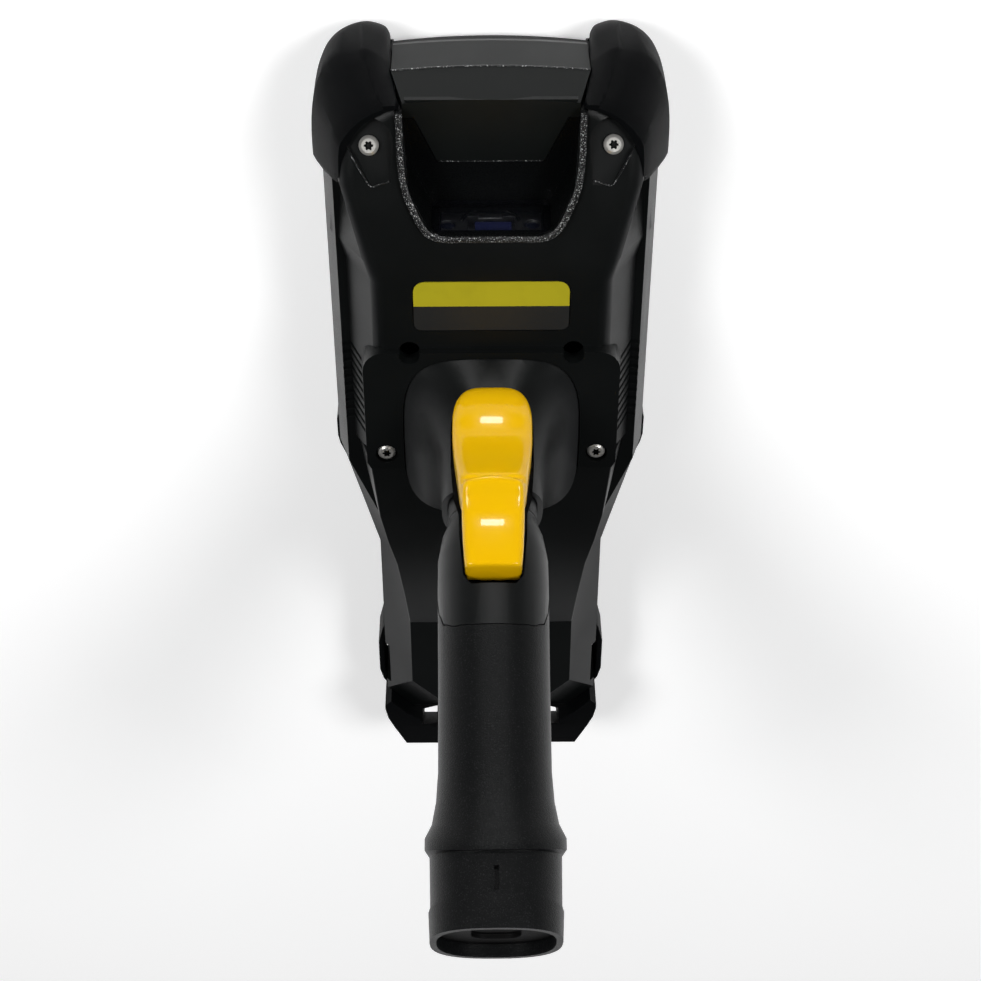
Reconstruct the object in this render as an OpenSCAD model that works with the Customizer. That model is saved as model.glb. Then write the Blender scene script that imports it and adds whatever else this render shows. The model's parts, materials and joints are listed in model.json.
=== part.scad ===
// Pistol-grip data terminal, lying screen down on its four rubber corner bumpers.
// X runs across the body, Y from the tail to the scan head, and Z rises out of the back.
// Handle pieces are drawn in the handle's own frame: x across, y towards the scan head, z down the handle.

/* [Body] */
// Length over the corner bumpers
overall_l = 248; // [238:1:262]
// Width of the housing beside the display
head_w = 86; // [82:1:92]
// Width of the housing beside the keypad
tail_w = 66; // [64:1:72]
// Height of the hood face above the surface that the bumpers rest on
back_z = 46; // [44:0.5:52]
// Height of the back face behind the handle
tail_back_z = 33; // [31:0.5:36]
// Height of the parting line between the two housings
split_z = 19; // [17:0.5:21]
// Gap between the front face and the surface that the bumpers rest on
face_z = 4.5; // [3.5:0.5:6]
// Wall of both housings
wall = 2.2; // [1.8:0.1:2.6]
// Plan radius of the housing's two head corners
head_corner = 18; // [12:1:24]
// Distance from the tail bumper tips to the end of the housing
tail_gap = 16; // [14:0.5:20]
// Distance from the head bumper tips to the end of the housing
head_gap = 6; // [5:0.5:9]

/* [Hood] */
// Height that the raised block stands above the hood face
block_rise = 2.4; // [1.5:0.1:4]
// Width of the raised block
block_w = 67.5; // [62:0.5:72]
// Length of the raised block
block_l = 39; // [34:0.5:44]
// Distance from the handle root to the tail edge of the raised block
block_back = 21; // [18:0.5:24]
// Width of the hood face beside the label
hood_w = 57; // [52:1:62]
// Width of the hood face beside the scan bay
hood_head_w = 70; // [66:1:74]
// Slope of the hood face beside the scan bay
hood_slope = 10.5; // [8:0.5:12]
// Width of the two-part label
label_w = 40; // [30:0.5:46]
// Length of each half of the label
label_l = 7.4; // [5:0.2:9]
// Number of louvre slots on each side
louvres = 10; // [6:1:12]

/* [Scan bay] */
// Width of the bay at the head end
bay_w = 43; // [38:0.5:46]
// Width of the bay at the window
bay_foot_w = 33; // [28:0.5:36]
// Length of the bay from the window to the end of the housing
bay_l = 34; // [30:0.5:38]
// Depth of the bay under the hood face
bay_d = 17; // [14:0.5:19]
// Thickness of the rim around the bay
rim_t = 1.8; // [1.2:0.1:2.4]
// Height of the rim above the hood face
rim_rise = 1.2; // [0.6:0.1:2]
// Width of the nose band between the head bumpers
nose_w = 49; // [45:0.5:52]
// Height of the top of the nose band
nose_z = 39; // [36:0.5:41]

/* [Bumpers] */
// Thickness of the head bumpers beside the housing
bumper_t = 2.5; // [2:0.1:5]
// Height of the head bumpers
head_bumper_z = 40; // [37:0.5:43]
// Height of the tail bumpers
tail_bumper_z = 29; // [25:0.5:31]
// Width of the gap between the tail bumpers
tail_mouth_w = 32; // [26:1:36]
// Width of the lashing slot in each tail bumper
lash_w = 4.6; // [4.2:0.2:6]
// Height of the lashing slot in each tail bumper
lash_h = 4.4; // [4.2:0.2:5.4]
// Length of the wrist strap loops on the sides of the tail
strap_loop_l = 24; // [20:1:28]
// Thickness of the wrist strap loops
strap_loop_t = 1.8; // [1.4:0.1:2.4]

/* [Handle] */
// Rake of the handle towards the tail
rake = 27; // [20:1:32]
// Distance from the head end of the housing to the handle root
head_to_root = 86; // [80:1:92]
// Length of the handle from the root to the foot
handle_l = 142.5; // [134:0.5:150]
// Width of the grip
grip_w = 28; // [27:0.5:32]
// Depth of the grip in front of its axis
grip_front = 19; // [18.4:0.2:22]
// Depth of the grip behind its axis
grip_back = 20; // [19.4:0.2:23]
// Amount that the collar stands proud of the grip
collar_rise = 3.2; // [2:0.2:5]
// Height of the foot below the collar
foot_h = 24.5; // [20:0.5:28]
// Distance from the root to the seam under the neck cover
neck_end = 68; // [64:1:72]

/* [Trigger] */
// Length of the trigger
trigger_l = 52; // [49:0.5:54]
// Width of the upper lobe
trigger_w = 20.4; // [18:0.2:21]
// Width of the lower lobe
trigger_low_w = 16; // [14:0.2:17]
// Swing of the trigger when it is pulled
trigger_swing = 5; // [4:0.5:6]
// Diameter of the trigger pin
pin_d = 3; // [2.4:0.2:3.6]

/* [Battery] */
// Width of the battery pack
battery_w = 22; // [20:0.5:22.4]
// Depth of the battery pack
battery_d = 31; // [28:0.5:32]
// Length of the battery pack
battery_l = 76; // [70:1:78]
// Distance of the pack's end from the rim of the foot
battery_inset = 3; // [2:0.5:5]

/* [Keypad and display] */
// Width of the display glass
glass_w = 68; // [62:1:72]
// Length of the display glass
glass_l = 88; // [80:1:90]
// Width of a key
key_w = 10; // [8:0.2:11]
// Length of a key
key_l = 8.6; // [7:0.2:9.2]
// Spacing of the keys across the body
key_pitch_x = 13.4; // [13:0.1:14]
// Spacing of the keys along the body
key_pitch_y = 13; // [12.4:0.1:13.4]
// Travel of a key
key_travel = 1.1; // [0.8:0.1:1.3]

/* [Fasteners] */
// Diameter of the screw heads
screw_head_d = 4.9; // [4.2:0.1:5.4]
// Diameter of the screw shanks
screw_d = 2.5; // [2:0.1:3]

/* [Fits] */
// Gap between neighbouring shell pieces
seam = 0.2; // [0.1:0.05:0.4]
// Gap around pieces that move
run_gap = 0.5; // [0.3:0.05:0.7]
// Radial clearance of the trigger on its pin
pin_gap = 0.05; // [0.03:0.01:0.1]

/* [Hidden] */
KEY_NAMES = [for (r = [1:5], c = [1:4]) str("key_r", r, "_c", c)];
$fn = 48;

y_head = overall_l / 2 - head_gap;
y_tail = -overall_l / 2 + tail_gap;
tip = overall_l / 2;
bumper_w = head_w + 2 * bumper_t;
handle_y = y_head - head_to_root;
hood_tail_y = handle_y - block_back;
bay_y = y_head - bay_l;
crease_y = bay_y - 8;

// Height of the hood face, which slopes down beside the scan bay
function hood_z(y) = back_z - max(0, y - crease_y) * tan(hood_slope);

// The handle root lies on the hood face
function grip_y(s, d) = handle_y + d * cos(rake) - s * sin(rake);
function grip_z(s, d) = back_z + d * sin(rake) + s * cos(rake);
module in_handle() translate([0, handle_y, back_z]) rotate([rake, 0, 0]) children();

function arc(cx, cy, r, a0, a1, n = 8) =
    [for (i = [0:n]) let (a = a0 + (a1 - a0) * i / n) [cx + r * cos(a), cy + r * sin(a)]];
function both_sides(right) =
    concat(right, [for (i = [len(right) - 1:-1:0]) [-right[i][0], right[i][1]]]);
function lift(pts, z) = [for (p = pts) [p[0], p[1], z]];
function mix(a, b, t) = a + (b - a) * t;

// A closed solid over rings that all have the same number of points, anticlockwise from above.
// Its ends are closed by rungs between the two halves of a ring, which also suits waisted outlines,
// or by a fan from the first point.
module loft(rings, fan = false) {
    n = len(rings[0]);
    m = len(rings);
    half = floor(n / 2);
    rungs = fan ? [for (i = [1:n - 2]) [0, i, i + 1]]
        : concat([for (i = [0:half - 2]) [i, i + 1, n - 2 - i, n - 1 - i]],
            n % 2 == 1 ? [[half - 1, half, half + 1]] : []);
    sides = [for (j = [0:m - 2], i = [0:n - 1])
        let (k = (i + 1) % n, a = j * n + i, b = j * n + k, c = a + n, d = b + n)
        each i < half ? [[a, c, b], [b, c, d]] : [[a, c, d], [a, d, b]]];
    polyhedron(points = [for (r = rings) each r],
        faces = concat(rungs, sides, [for (q = rungs) [for (i = [len(q) - 1:-1:0]) (m - 1) * n + q[i]]]),
        convexity = 8);
}

// A bar of constant outline, drawn as [y, z] points and extruded across the body
module side_bar(pts, w) {
    rotate([90, 0, 90]) translate([0, 0, -w / 2]) linear_extrude(w) polygon(pts);
}

// A box with round upright edges, centred in x and y
module round_box(w, l, h, r) {
    linear_extrude(h) polygon(concat(
        arc(w / 2 - r, l / 2 - r, r, 0, 90, 6), arc(-w / 2 + r, l / 2 - r, r, 90, 180, 6),
        arc(-w / 2 + r, -l / 2 + r, r, 180, 270, 6), arc(w / 2 - r, -l / 2 + r, r, 270, 360, 6)));
}

module mirrored() {
    children();
    mirror([1, 0, 0]) children();
}

// ---- Housings ----
shoulder_y = hood_tail_y - 9;
waist_y = shoulder_y - 39;
tail_chamfer = 8;
tail_flat_w = 49;
tail_slope_l = 13;
facet_z = split_z + 4;

// Half plan of the housing, tail to head, drawn in by g
function plan_right(tw, hw, g, cut = 0) = concat(
    [[tw / 2 - tail_chamfer - g * 0.4, y_tail + cut + g], [tw / 2 - g, y_tail + cut + tail_chamfer + g * 0.4],
     [tw / 2 - g, waist_y], [hw / 2 - g, shoulder_y]],
    arc(hw / 2 - head_corner, y_head - head_corner, head_corner - g, 0, 90));
function plan(tw, hw, g, cut = 0) = both_sides(plan_right(tw, hw, g, cut));

// Lower part of the rear housing: full plan with drawn-in flanks
shelf_w = (head_w + hood_head_w) / 2 + 2;
module rear_base(g) {
    loft([lift(plan(tail_w, head_w, g), split_z - (g > 0 ? 1 : 0)),
        lift(plan(tail_w, head_w, g), facet_z - (g > 0 ? 1 : 0)),
        lift(plan(tail_flat_w, shelf_w, g, tail_slope_l), tail_back_z - g)]);
}

// Both housings together, grown by the seam, which the bumpers are cut to
module body_form() {
    g = -seam / 2;
    loft([lift(plan(tail_w, head_w, g), face_z), lift(plan(tail_w, head_w, g), facet_z),
        lift(plan(tail_flat_w, shelf_w, g, tail_slope_l), tail_back_z - g)]);
}

// Hood outline, tail to head, drawn in by g
function hood_outline(w0, w1, g) = both_sides(concat(
    [[w0 / 2 - g, hood_tail_y + g], [w0 / 2 - g, crease_y - 6], [w0 / 2 + 1.6 - g, crease_y],
        [w1 / 2 - g, bay_y + 12]],
    arc(w1 / 2 - head_corner, y_head - head_corner - seam, head_corner - g, 0, 90)));
// The hood's sides lean in and turn into its face in a round edge
hood_r = 5;
side_lean = 34;
edge_steps = 4;
edge_w = 2 * hood_r * cos(side_lean) - 3;
module hood(g) {
    loft(concat([lift(hood_outline(shelf_w, shelf_w, g), tail_back_z - 4)],
        [for (i = [0:edge_steps]) let (a = mix(side_lean, 90, i / edge_steps))
            [for (q = hood_outline(hood_w + edge_w, hood_head_w + edge_w, g + hood_r * (cos(side_lean) - cos(a))))
                [q[0], q[1], hood_z(q[1]) - g - hood_r * (1 - sin(a))]]]));
}

// Raised block that carries the handle, with two round head-side corners
module raised_block(g) {
    r = 5.6;
    hw = block_w / 2 - g;
    yt = hood_tail_y + 0.4 + g;
    root = tail_back_z + 1 - back_z;
    translate([0, 0, back_z + root]) linear_extrude(block_rise - g - root) polygon(both_sides(concat(
        [[hw - 1, yt], [hw, yt + 2]], arc(hw - r, yt + block_l - 0.4 - r - 2 * g, r, 0, 90, 6))));
}

// Plan of the scan bay, head to window
function bay_plan(g) = both_sides(concat(
    arc(bay_foot_w / 2 - 4, bay_y + 4, 4 + g, -90, -20, 6),
    [[bay_w / 2 - 1 + g, bay_y + 12], [bay_w / 2 + g, y_head - 4], [bay_w / 2 + g, y_head + 4]]));

screw_x = 30;
screw_y = y_head - 12.5;
screw_z = hood_z(screw_y) - 2.4;
screw_tilt = -24;
// Solid corner of the housing under each screw pocket
corner_w = 18;
corner_l = 22;
block_screw_x = 28.4;
block_screw_y = hood_tail_y + 5.4;

module screw_pocket() {
    translate([screw_x, screw_y, screw_z]) rotate([screw_tilt, 0, 0]) {
        linear_extrude(20) polygon(concat([[-5, -10], [-1, -11.5]], [[6, 1]],
            arc(0, 1, 6, 0, 180, 10)));
        translate([0, 0, -12]) cylinder(d = screw_d, h = 20);
    }
}

shroud_w = 47;
shroud_l = 53;
shroud_y = hood_tail_y - 16;
// Arched footprint of the shroud around the handle root
function arch(g) = [for (p = ring(0, shroud_w + 2 * g, shroud_l / 2 + g, shroud_l / 2 + g, 0, 3.6))
    [p[0], p[1] + shroud_y + shroud_l / 2]];

module louvre_cuts() {
    pitch = 2.7;
    for (i = [0:louvres - 1])
        translate([head_w / 2 - 5.6, hood_tail_y + 6 + i * pitch, tail_back_z + 2.5])
            rotate([0, 22, 0]) rotate([30, 0, 0]) cube([7, 1.1, 8], center = true);
}

access_x = 21.4;
access_y = hood_tail_y + block_l - 0.8;

module rear_housing() {
    color("#33363a") difference() {
        union() {
            rear_base(0);
            hood(0);
            raised_block(0);
        }
        difference() {
            union() {
                rear_base(wall);
                hood(wall);
            }
            // Pillars that the two hood screws and the two block screws bite into
            mirrored() translate([0, 0, split_z + seal_h / 2 + seam]) {
                translate([screw_x - corner_w / 2, screw_y - corner_l + 7, 0]) cube([corner_w, corner_l, back_z]);
                translate([block_screw_x, block_screw_y, 0]) cylinder(d = pillar_d, h = back_z);
            }
        }
        translate([0, 0, bay_floor_z - rim_t - tongue_t - seam]) linear_extrude(60) polygon(bay_plan(rim_t + seam));
        translate([0, 0, back_z - wall - 1.5]) linear_extrude(20) polygon(arch(seam));
        band_block(seam);
        mirrored() {
            screw_pocket();
            translate([access_x, access_y, back_z - 6]) cylinder(d = 5.4, h = 20);
            translate([block_screw_x, block_screw_y, back_z + block_rise - 2]) cylinder(d = screw_head_d + 1, h = 5);
            translate([block_screw_x, block_screw_y, back_z - 12]) cylinder(d = screw_d, h = 20);
            louvre_cuts();
            strap_pocket();
        }
        translate([0, label_y, back_z - 0.3]) round_box(label_w + 0.6, 2 * label_l + 0.6, 2, 2.6);
        handle_duct();
    }
}

seal_w = 1.3;
seal_h = 1.6;
pillar_d = 8;

// Wiring duct from the body into the handle
module handle_duct() {
    in_handle() translate([0, -2, -6]) cube([14, 16, 40], center = true);
}

// Half plan of the front housing's opening for the glass
glass_y = y_head - 18 - glass_l / 2;
glass_t = wall - 0.6;
// Width of the ledge that the display glass is bonded to
glass_ledge = 3;
key_flange = 1;
flange_t = 0.9;
key_y0 = y_tail + 14;
function key_x(c) = (c - 2.5) * key_pitch_x;
function key_y(r) = key_y0 + (5 - r) * key_pitch_y;
power_x = 20;
power_y = key_y(1) + key_pitch_y + 2;
scan_key_w = 22;
speaker_d = 12;
speaker_y = y_head - 13.4;
board_z = split_z + 2;
keypad_z = face_z + wall + flange_t + key_travel + 0.4;
rib_t = min(1.2, key_pitch_y - key_l - 2 * key_flange - 2 * run_gap);
post_d = 2.4;
post_inset = wall + seal_w + seam + post_d / 2;
board_posts = [[tail_w / 2 - post_inset, y_tail + 14], [tail_w / 2 - post_inset, waist_y - 8],
    [head_w / 2 - post_inset, shoulder_y + 8], [head_w / 2 - post_inset, shoulder_y + 60]];

module front_housing() {
    color("#26282b") difference() {
        union() {
            difference() {
                translate([0, 0, face_z]) linear_extrude(split_z - face_z) polygon(plan(tail_w, head_w, 0));
                translate([0, 0, face_z + wall]) linear_extrude(split_z) polygon(plan(tail_w, head_w, wall));
            }
            // Lugs at the shoulders
            mirrored() translate([0, shoulder_y, split_z - 9]) linear_extrude(9) polygon([[head_w / 2 - 1.5, -10],
                [head_w / 2 + 0.4, -5], [head_w / 2 + 1, -2], [head_w / 2 + 1, 4], [head_w / 2 - 0.5, 8]]);
            for (p = board_posts) mirrored()
                translate([p[0], p[1], face_z + wall - 1]) cylinder(d = post_d, h = board_z - face_z - wall + 1);
            // Ribs between the rows of keys, which carry the keypad board
            for (r = [1:4]) translate([0, (key_y(r) + key_y(r + 1)) / 2, (face_z + wall - 1 + keypad_z) / 2])
                cube([4 * key_pitch_x - 2, rib_t, keypad_z - face_z - wall + 1], center = true);
        }
        translate([0, glass_y, face_z - 1]) round_box(glass_w + 2 * seam, glass_l + 2 * seam, glass_t + 1, 4);
        translate([0, glass_y, face_z - 1]) round_box(glass_w - 2 * glass_ledge, glass_l - 2 * glass_ledge, 10, 3);
        for (r = [1:5], c = [1:4]) translate([key_x(c), key_y(r), face_z - 1])
            round_box(key_w + 2 * run_gap, key_l + 2 * run_gap, 6, 2.2);
        translate([power_x, power_y, face_z - 1]) round_box(key_w + 2 * run_gap, key_l + 2 * run_gap, 6, 2.2);
        translate([0, power_y, face_z - 1]) round_box(scan_key_w + 2 * run_gap, key_l + 2 * run_gap, 6, 4);
        mirrored() strap_pocket();
        for (i = [-2:2]) translate([i * 2.2, speaker_y, face_z + 1])
            cube([1, speaker_d / 2, 6], center = true);
        translate([0, y_tail, dock_z]) cube([dock_w + 2 * seam, 14, dock_h + 2 * seam], center = true);
        translate([-nose_w / 2 - seam, nose_back_y - seam, face_z + 2 - seam]) cube([nose_w + 2 * seam, 20, 40]);
    }
}

module housing_seal() {
    color("#15161a") translate([0, 0, split_z - seal_h / 2]) linear_extrude(seal_h) difference() {
        polygon(plan(tail_w, head_w, wall + seam / 2));
        polygon(plan(tail_w, head_w, wall + seal_w));
        translate([0, y_head]) square([nose_w + 2 * seam + 1, 16], center = true);
    }
}

// ---- Head ----
nose_t = 8;
nose_crease_z = nose_z - 13;
nose_top_w = nose_w - 6;
tongue_top_w = 42;
tongue_foot_w = 27;
tongue_l = 22;
tongue_drop = 9;
tongue_t = 1.6;
nose_y = y_head + head_gap - 4;
nose_back_y = nose_y - nose_t;
// The band bows out by this much in the middle
nose_bow = 1.2;
tongue_y = nose_y - 1.8;
tongue_slope = tongue_drop / tongue_l;

// Tongue that slopes from the band down to the floor of the bay, grown by g
module tongue(g, up = 0) {
    loft([for (t = [0, 1]) let (y = tongue_y - t * tongue_l - t * g, z = nose_z - t * (tongue_drop + g * tongue_slope),
            w = mix(tongue_top_w, tongue_foot_w, t) / 2 + g)
        [[-w, y, z - tongue_t - g], [w, y, z - tongue_t - g], [w, y, z + up], [-w, y, z + up]]]);
}
// Half width of the band at height z
function nose_half(z) =
    nose_w / 2 - max(0, z - nose_crease_z) * (nose_w - nose_top_w) / 2 / (nose_z - nose_crease_z);
// Everything in front of the band's back, between its two sides, grown by g
module band_block(g) {
    rotate([90, 0, 0]) translate([0, 0, -tip - 1]) linear_extrude(tip + 1 - nose_back_y + g)
        polygon(both_sides([for (z = [face_z, nose_crease_z, nose_z + 2]) [nose_half(z) + g, z]]));
}
module nose_band() {
    side = [[nose_back_y, face_z + 2], [nose_y - 2, face_z + 2], [nose_y, face_z + 7], [nose_y, nose_crease_z],
        [tongue_y, nose_z], [nose_back_y, nose_z - (tongue_y - nose_back_y) * tongue_slope]];
    color("#3b3e42") union() {
        intersection() {
            rotate([90, 0, 90]) loft([for (i = [-4:4]) let (u = i / 4)
                [for (q = side) [q[0] - (q[0] > nose_back_y ? nose_bow * u * u : 0), q[1], u * nose_w / 2]]],
                fan = true);
            band_block(0);
        }
        tongue(0);
    }
}

bumper_crease_z = 22;
// Width of the bumpers' rims under the body
bumper_wrap = 7;
// Outline of a head bumper at height z, its outer side drawn in by g
function head_bumper_ring(z, g) =
    let (x0 = nose_half(z) + seam,
        x1 = bumper_w / 2 - g, y1 = tip - g * 0.8)
    lift(concat([[x0, y_head - 8], [x1 - 6, y1 - 34 + g * 2], [x1 - 2.6, y1 - 35 + g * 2],
        [x1, y1 - 30 + g * 1.4], [x1, y1 - 24 + g * 0.9]], arc(x1 - 19, y1 - 20.6, 19, 8, 72, 6),
        [[x0 + 5.5, y1], [x0 + 2.2, y1 - 1], [x0, y1 - 4]]), z);
module head_bumper() {
    color("#17181a") difference() {
        loft([head_bumper_ring(0, 3), head_bumper_ring(4, 0.6), head_bumper_ring(8, 0),
            head_bumper_ring(bumper_crease_z, 0), head_bumper_ring(nose_crease_z, 1.06),
            head_bumper_ring(head_bumper_z - 3, 4.5),
            head_bumper_ring(head_bumper_z, 6.5)], fan = true);
        body_form();
        hood(-seam / 2);
        // The bumper wraps a little way over the hood's round edge
        translate([0, 0, tail_back_z]) linear_extrude(tip)
            polygon(hood_outline(hood_w + edge_w, hood_head_w + edge_w, 1.2));
        translate([0, y_head - 60, -1]) round_box(bumper_w - 2 * bumper_wrap, 96, tail_back_z - 3, 10);
    }
}

// Lashing slot: slanted through the corner so that a cord can be tied around it
lash_tilt = 36;
module lash_cut() {
    translate([tail_w / 2 - 13.4, y_tail - 0.4, tail_bumper_z]) rotate([-lash_tilt, 0, 0])
        cube([lash_w, lash_h, 90], center = true);
}
tail_outer_w = tail_w + 1.4;
module tail_bumper() {
    x1 = tail_outer_w / 2;
    color("#1b1c1e") difference() {
        intersection() {
            linear_extrude(tail_bumper_z) polygon([[tail_mouth_w / 2, y_tail - 6], [tail_mouth_w / 2, -tip],
                [x1 - 9, -tip], [x1 - 7, -tip + 1.4], [x1 - 0.8, -tip + 16], [x1, -tip + 20],
                [x1, y_tail + 5.6], [x1 - 2, y_tail + 7.6], [x1 - 7, y_tail + 2]]);
            side_bar([[-tip, 4], [-tip + 4, 0], [0, 0], [0, tail_bumper_z], [y_tail - 4, tail_bumper_z],
                [-tip + 3, tail_bumper_z - 1], [-tip, tail_bumper_z - 4]], 200);
        }
        body_form();
        translate([0, y_tail + 30, -1]) round_box(tail_outer_w - 2 * 6, 44, 40, 6);
        lash_cut();
    }
}

// Flat loop beside the tail for a wrist strap, over a shallow pocket in the flank
loop_rise = 2.3;
loop_h = 12;
loop_z = split_z - 10;
loop_y = y_tail + 8;
pocket_d = 1.3;
module strap_loop() {
    x0 = tail_w / 2 + seam / 2;
    x1 = tail_w / 2 + loop_rise;
    xi = x1 - strap_loop_t;
    color("#1b1c1e") translate([0, 0, loop_z]) difference() {
        linear_extrude(loop_h) polygon([[x0, loop_y], [x1 - 1, loop_y + 2], [x1, loop_y + 6],
            [x1, loop_y + strap_loop_l - 6], [x1 - 1.4, loop_y + strap_loop_l], [x0, loop_y + strap_loop_l + 1.5]]);
        translate([0, 0, -1]) linear_extrude(loop_h + 2) polygon([[x0 - 1, loop_y + 4], [xi, loop_y + 5.4],
            [xi, loop_y + strap_loop_l - 5.4], [x0 - 1, loop_y + strap_loop_l - 4]]);
    }
}
// The pocket behind the loop
module strap_pocket() {
    translate([tail_w / 2, loop_y + strap_loop_l / 2, loop_z + loop_h / 2])
        cube([2 * pocket_d, strap_loop_l - 8, loop_h + 8], center = true);
}

bay_floor_z = back_z - bay_d;
window_h = 13;
window_w = bay_foot_w - 3;
window_z = back_z - 2 - window_h / 2;
// Everything between the floor of the bay, lowered by g, and the given height above the hood face
module above_floor(g, rise) {
    side_bar([[bay_y - 20, bay_floor_z - g], [tongue_y - tongue_l - 8, bay_floor_z - g],
        [tongue_y - tongue_l, nose_z - tongue_drop - g], [tongue_y, nose_z - g],
        [tongue_y, hood_z(tongue_y) + rise], [crease_y, back_z + rise], [bay_y - 20, back_z + rise]], 100);
}
module scan_bezel() {
    color("#222427") difference() {
        intersection() {
            translate([0, 0, bay_floor_z - 10]) linear_extrude(60) polygon(bay_plan(rim_t));
            above_floor(rim_t + tongue_t, rim_rise);
        }
        band_block(seam);
        // The rim stops where the bumpers begin
        translate([-head_w / 2, y_head - 2.4, 0]) cube(head_w);
        intersection() {
            translate([0, 0, bay_floor_z - 10]) linear_extrude(60) polygon(bay_plan(0));
            above_floor(0, tongue_drop);
        }
        tongue(seam, 2);
        window_slab(seam);
        // Mouth behind the window
        translate([0, bay_y, window_z]) cube([window_w - 4, 8, window_h - 2], center = true);
    }
}

window_t = 1.4;
module window_slab(g) {
    translate([0, bay_y, window_z]) rotate([90, 0, 0]) translate([0, 0, -window_t - g])
        round_box(window_w + 2 * g, window_h + 2 * g, window_t + g, 2 + g);
}
module scan_window() color("#30343c") window_slab(0);

engine_w = 12;
engine_l = 18;
aimer_x = -11;
camera_x = 10.4;
lens_d = 4;
module scan_engine() {
    color("#2b2f33") translate([0, bay_y - rim_t, window_z]) {
        difference() {
            translate([-window_w / 2 + 2.3, -engine_l, -window_h / 2 - 1.6])
                cube([window_w - 4.6, engine_l, window_h - 1]);
            cube([engine_w, 5, 8], center = true);
            for (x = [aimer_x, camera_x]) translate([x, 1, 0]) rotate([90, 0, 0])
                cylinder(d = lens_d + seam, h = 4);
        }
        translate([0, -2.6, 2.2]) cube([8, 1.2, 1.6], center = true);
    }
}

module lens(x, d) {
    translate([x, bay_y - rim_t, window_z]) rotate([90, 0, 0])
        intersection() {
            cylinder(d = d, h = 3);
            translate([0, 0, d]) sphere(r = d * 1.02);
        }
}
module aimer_lens() color("#3c4658") lens(aimer_x, lens_d);
module camera_lens() color("#3c4658") lens(camera_x, lens_d);

label_y = (hood_tail_y + block_l + bay_y) / 2 - 4;
module label_half(l, tint) color(tint) linear_extrude(0.3)
    if (l > 0) polygon(concat([[-label_w / 2, 0], [label_w / 2, 0]],
        arc(label_w / 2 - 3, l - 3, 3, 0, 90, 6), arc(-label_w / 2 + 3, l - 3, 3, 90, 180, 6)));
    else polygon(concat([[label_w / 2, 0], [-label_w / 2, 0]],
        arc(-label_w / 2 + 2, l + 2, 2, 180, 270, 6), arc(label_w / 2 - 2, l + 2, 2, 270, 360, 6)));
module label_yellow() translate([0, label_y, back_z - 0.3]) label_half(label_l, "#d9cf2c");
module label_grey() translate([0, label_y, back_z - 0.3]) label_half(-label_l, "#3a3c3f");

// Pan-head screw with a six-lobe recess and a centre pin, its seat at z = 0
module pan_screw(shank) {
    difference() {
        union() {
            cylinder(d = screw_head_d, h = 1);
            translate([0, 0, 1]) cylinder(d1 = screw_head_d, d2 = screw_head_d - 1.4, h = 0.6);
            translate([0, 0, -shank]) cylinder(d = screw_d - 0.04, h = shank);
        }
        difference() {
            union() {
                translate([0, 0, 0.6]) cylinder(d = 1.7, h = 2);
                for (a = [0:60:300]) rotate([0, 0, a]) translate([0.9, 0, 0.6]) cylinder(d = 0.6, h = 2);
            }
            cylinder(d = 0.7, h = 1.4);
        }
    }
}
module hood_screws() color("silver") mirrored()
    translate([screw_x, screw_y, screw_z]) rotate([screw_tilt, 0, 0]) pan_screw(8);
module block_screws() color("silver") mirrored()
    translate([block_screw_x, block_screw_y, back_z + block_rise - 2]) pan_screw(8);

// ---- Handle ----
// Superellipse ring of a handle section at distance s, leaning by tilt
function ring(s, w, back, front, tilt = 0, e = 2.6, n = 48) =
    [for (i = [0:n - 1]) let (a = 360 * i / n, c = cos(a), q = sin(a),
        x = w / 2 * sign(c) * pow(abs(c), 2 / e), d = (q > 0 ? front : back) * sign(q) * pow(abs(q), 2 / e))
        [x, d, s + tilt * d]];

shroud_top = 31;
neck_top = 36;
// Amount that the handle's upper end, which plugs into the shroud, is narrower than the grip
plug_in = 5;
collar_s = handle_l - foot_h;
collar_tilt = 0.26;
rim_rings = 7;
module grip_outer(g) {
    w = grip_w - 2 * g;
    f = grip_front - g;
    b = grip_back - g;
    c = collar_rise;
    loft([ring(14, w - plug_in, b + 2, f - 6), ring(shroud_top, w - plug_in, b + 1, f - 5),
        ring(neck_top + 1, w - plug_in, b + 0.8, f - 2.8), ring(neck_top + 5, w - 1.8, b + 0.5, f - 1.2),
        ring(neck_top + 11, w + 0.3, b, f - 0.4), ring(neck_top + 18, w + 0.4, b, f),
        ring(collar_s - 38, w, b, f), ring(collar_s - 16, w, b, f + 0.3),
        ring(collar_s - 9, w + 1, b + 0.6, f + 0.8, collar_tilt * 0.4),
        ring(collar_s - 4, w + 3, b + 1.6, f + 1.8, collar_tilt * 0.8),
        ring(collar_s - 0.8, w + 2 * c, b + c, f + c, collar_tilt),
        ring(collar_s + 2.2, w + 2 * c, b + c, f + c, collar_tilt * 0.8),
        ring(collar_s + 4, w + 2 * c - 2.4, b + c - 1.2, f + c - 1.2, collar_tilt * 0.5),
        ring(handle_l - rim_rings - 0.8, w + 2 * c - 2.8, b + c - 1.4, f + c - 1.4),
        ring(handle_l - rim_rings + 0.4, w + 2 * c - 2, b + c - 1, f + c - 1),
        ring(handle_l, w + 2 * c - 2.6, b + c - 1.2, f + c - 1.2)]);
}

well_gap = 0.4;
pack_corner = 7;
cap_h = 6;
battery_top = handle_l - battery_inset - battery_l;
well_mid = -0.6;
neck_back = 4;
trigger_top = 4;
trigger_ridge = trigger_top + 30.5;

module battery_well() {
    translate([0, well_mid, battery_top - 3])
        round_box(battery_w + 2 * well_gap, battery_d + 2 * well_gap, handle_l, pack_corner + well_gap);
    // The mouth opens to the full foot
    translate([0, 0, handle_l - battery_inset - cap_h - well_gap]) linear_extrude(20)
        polygon([for (p = ring(0, grip_w + 0.6, grip_back - 0.2, grip_front - 0.2)) [p[0], p[1]]]);
}

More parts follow.
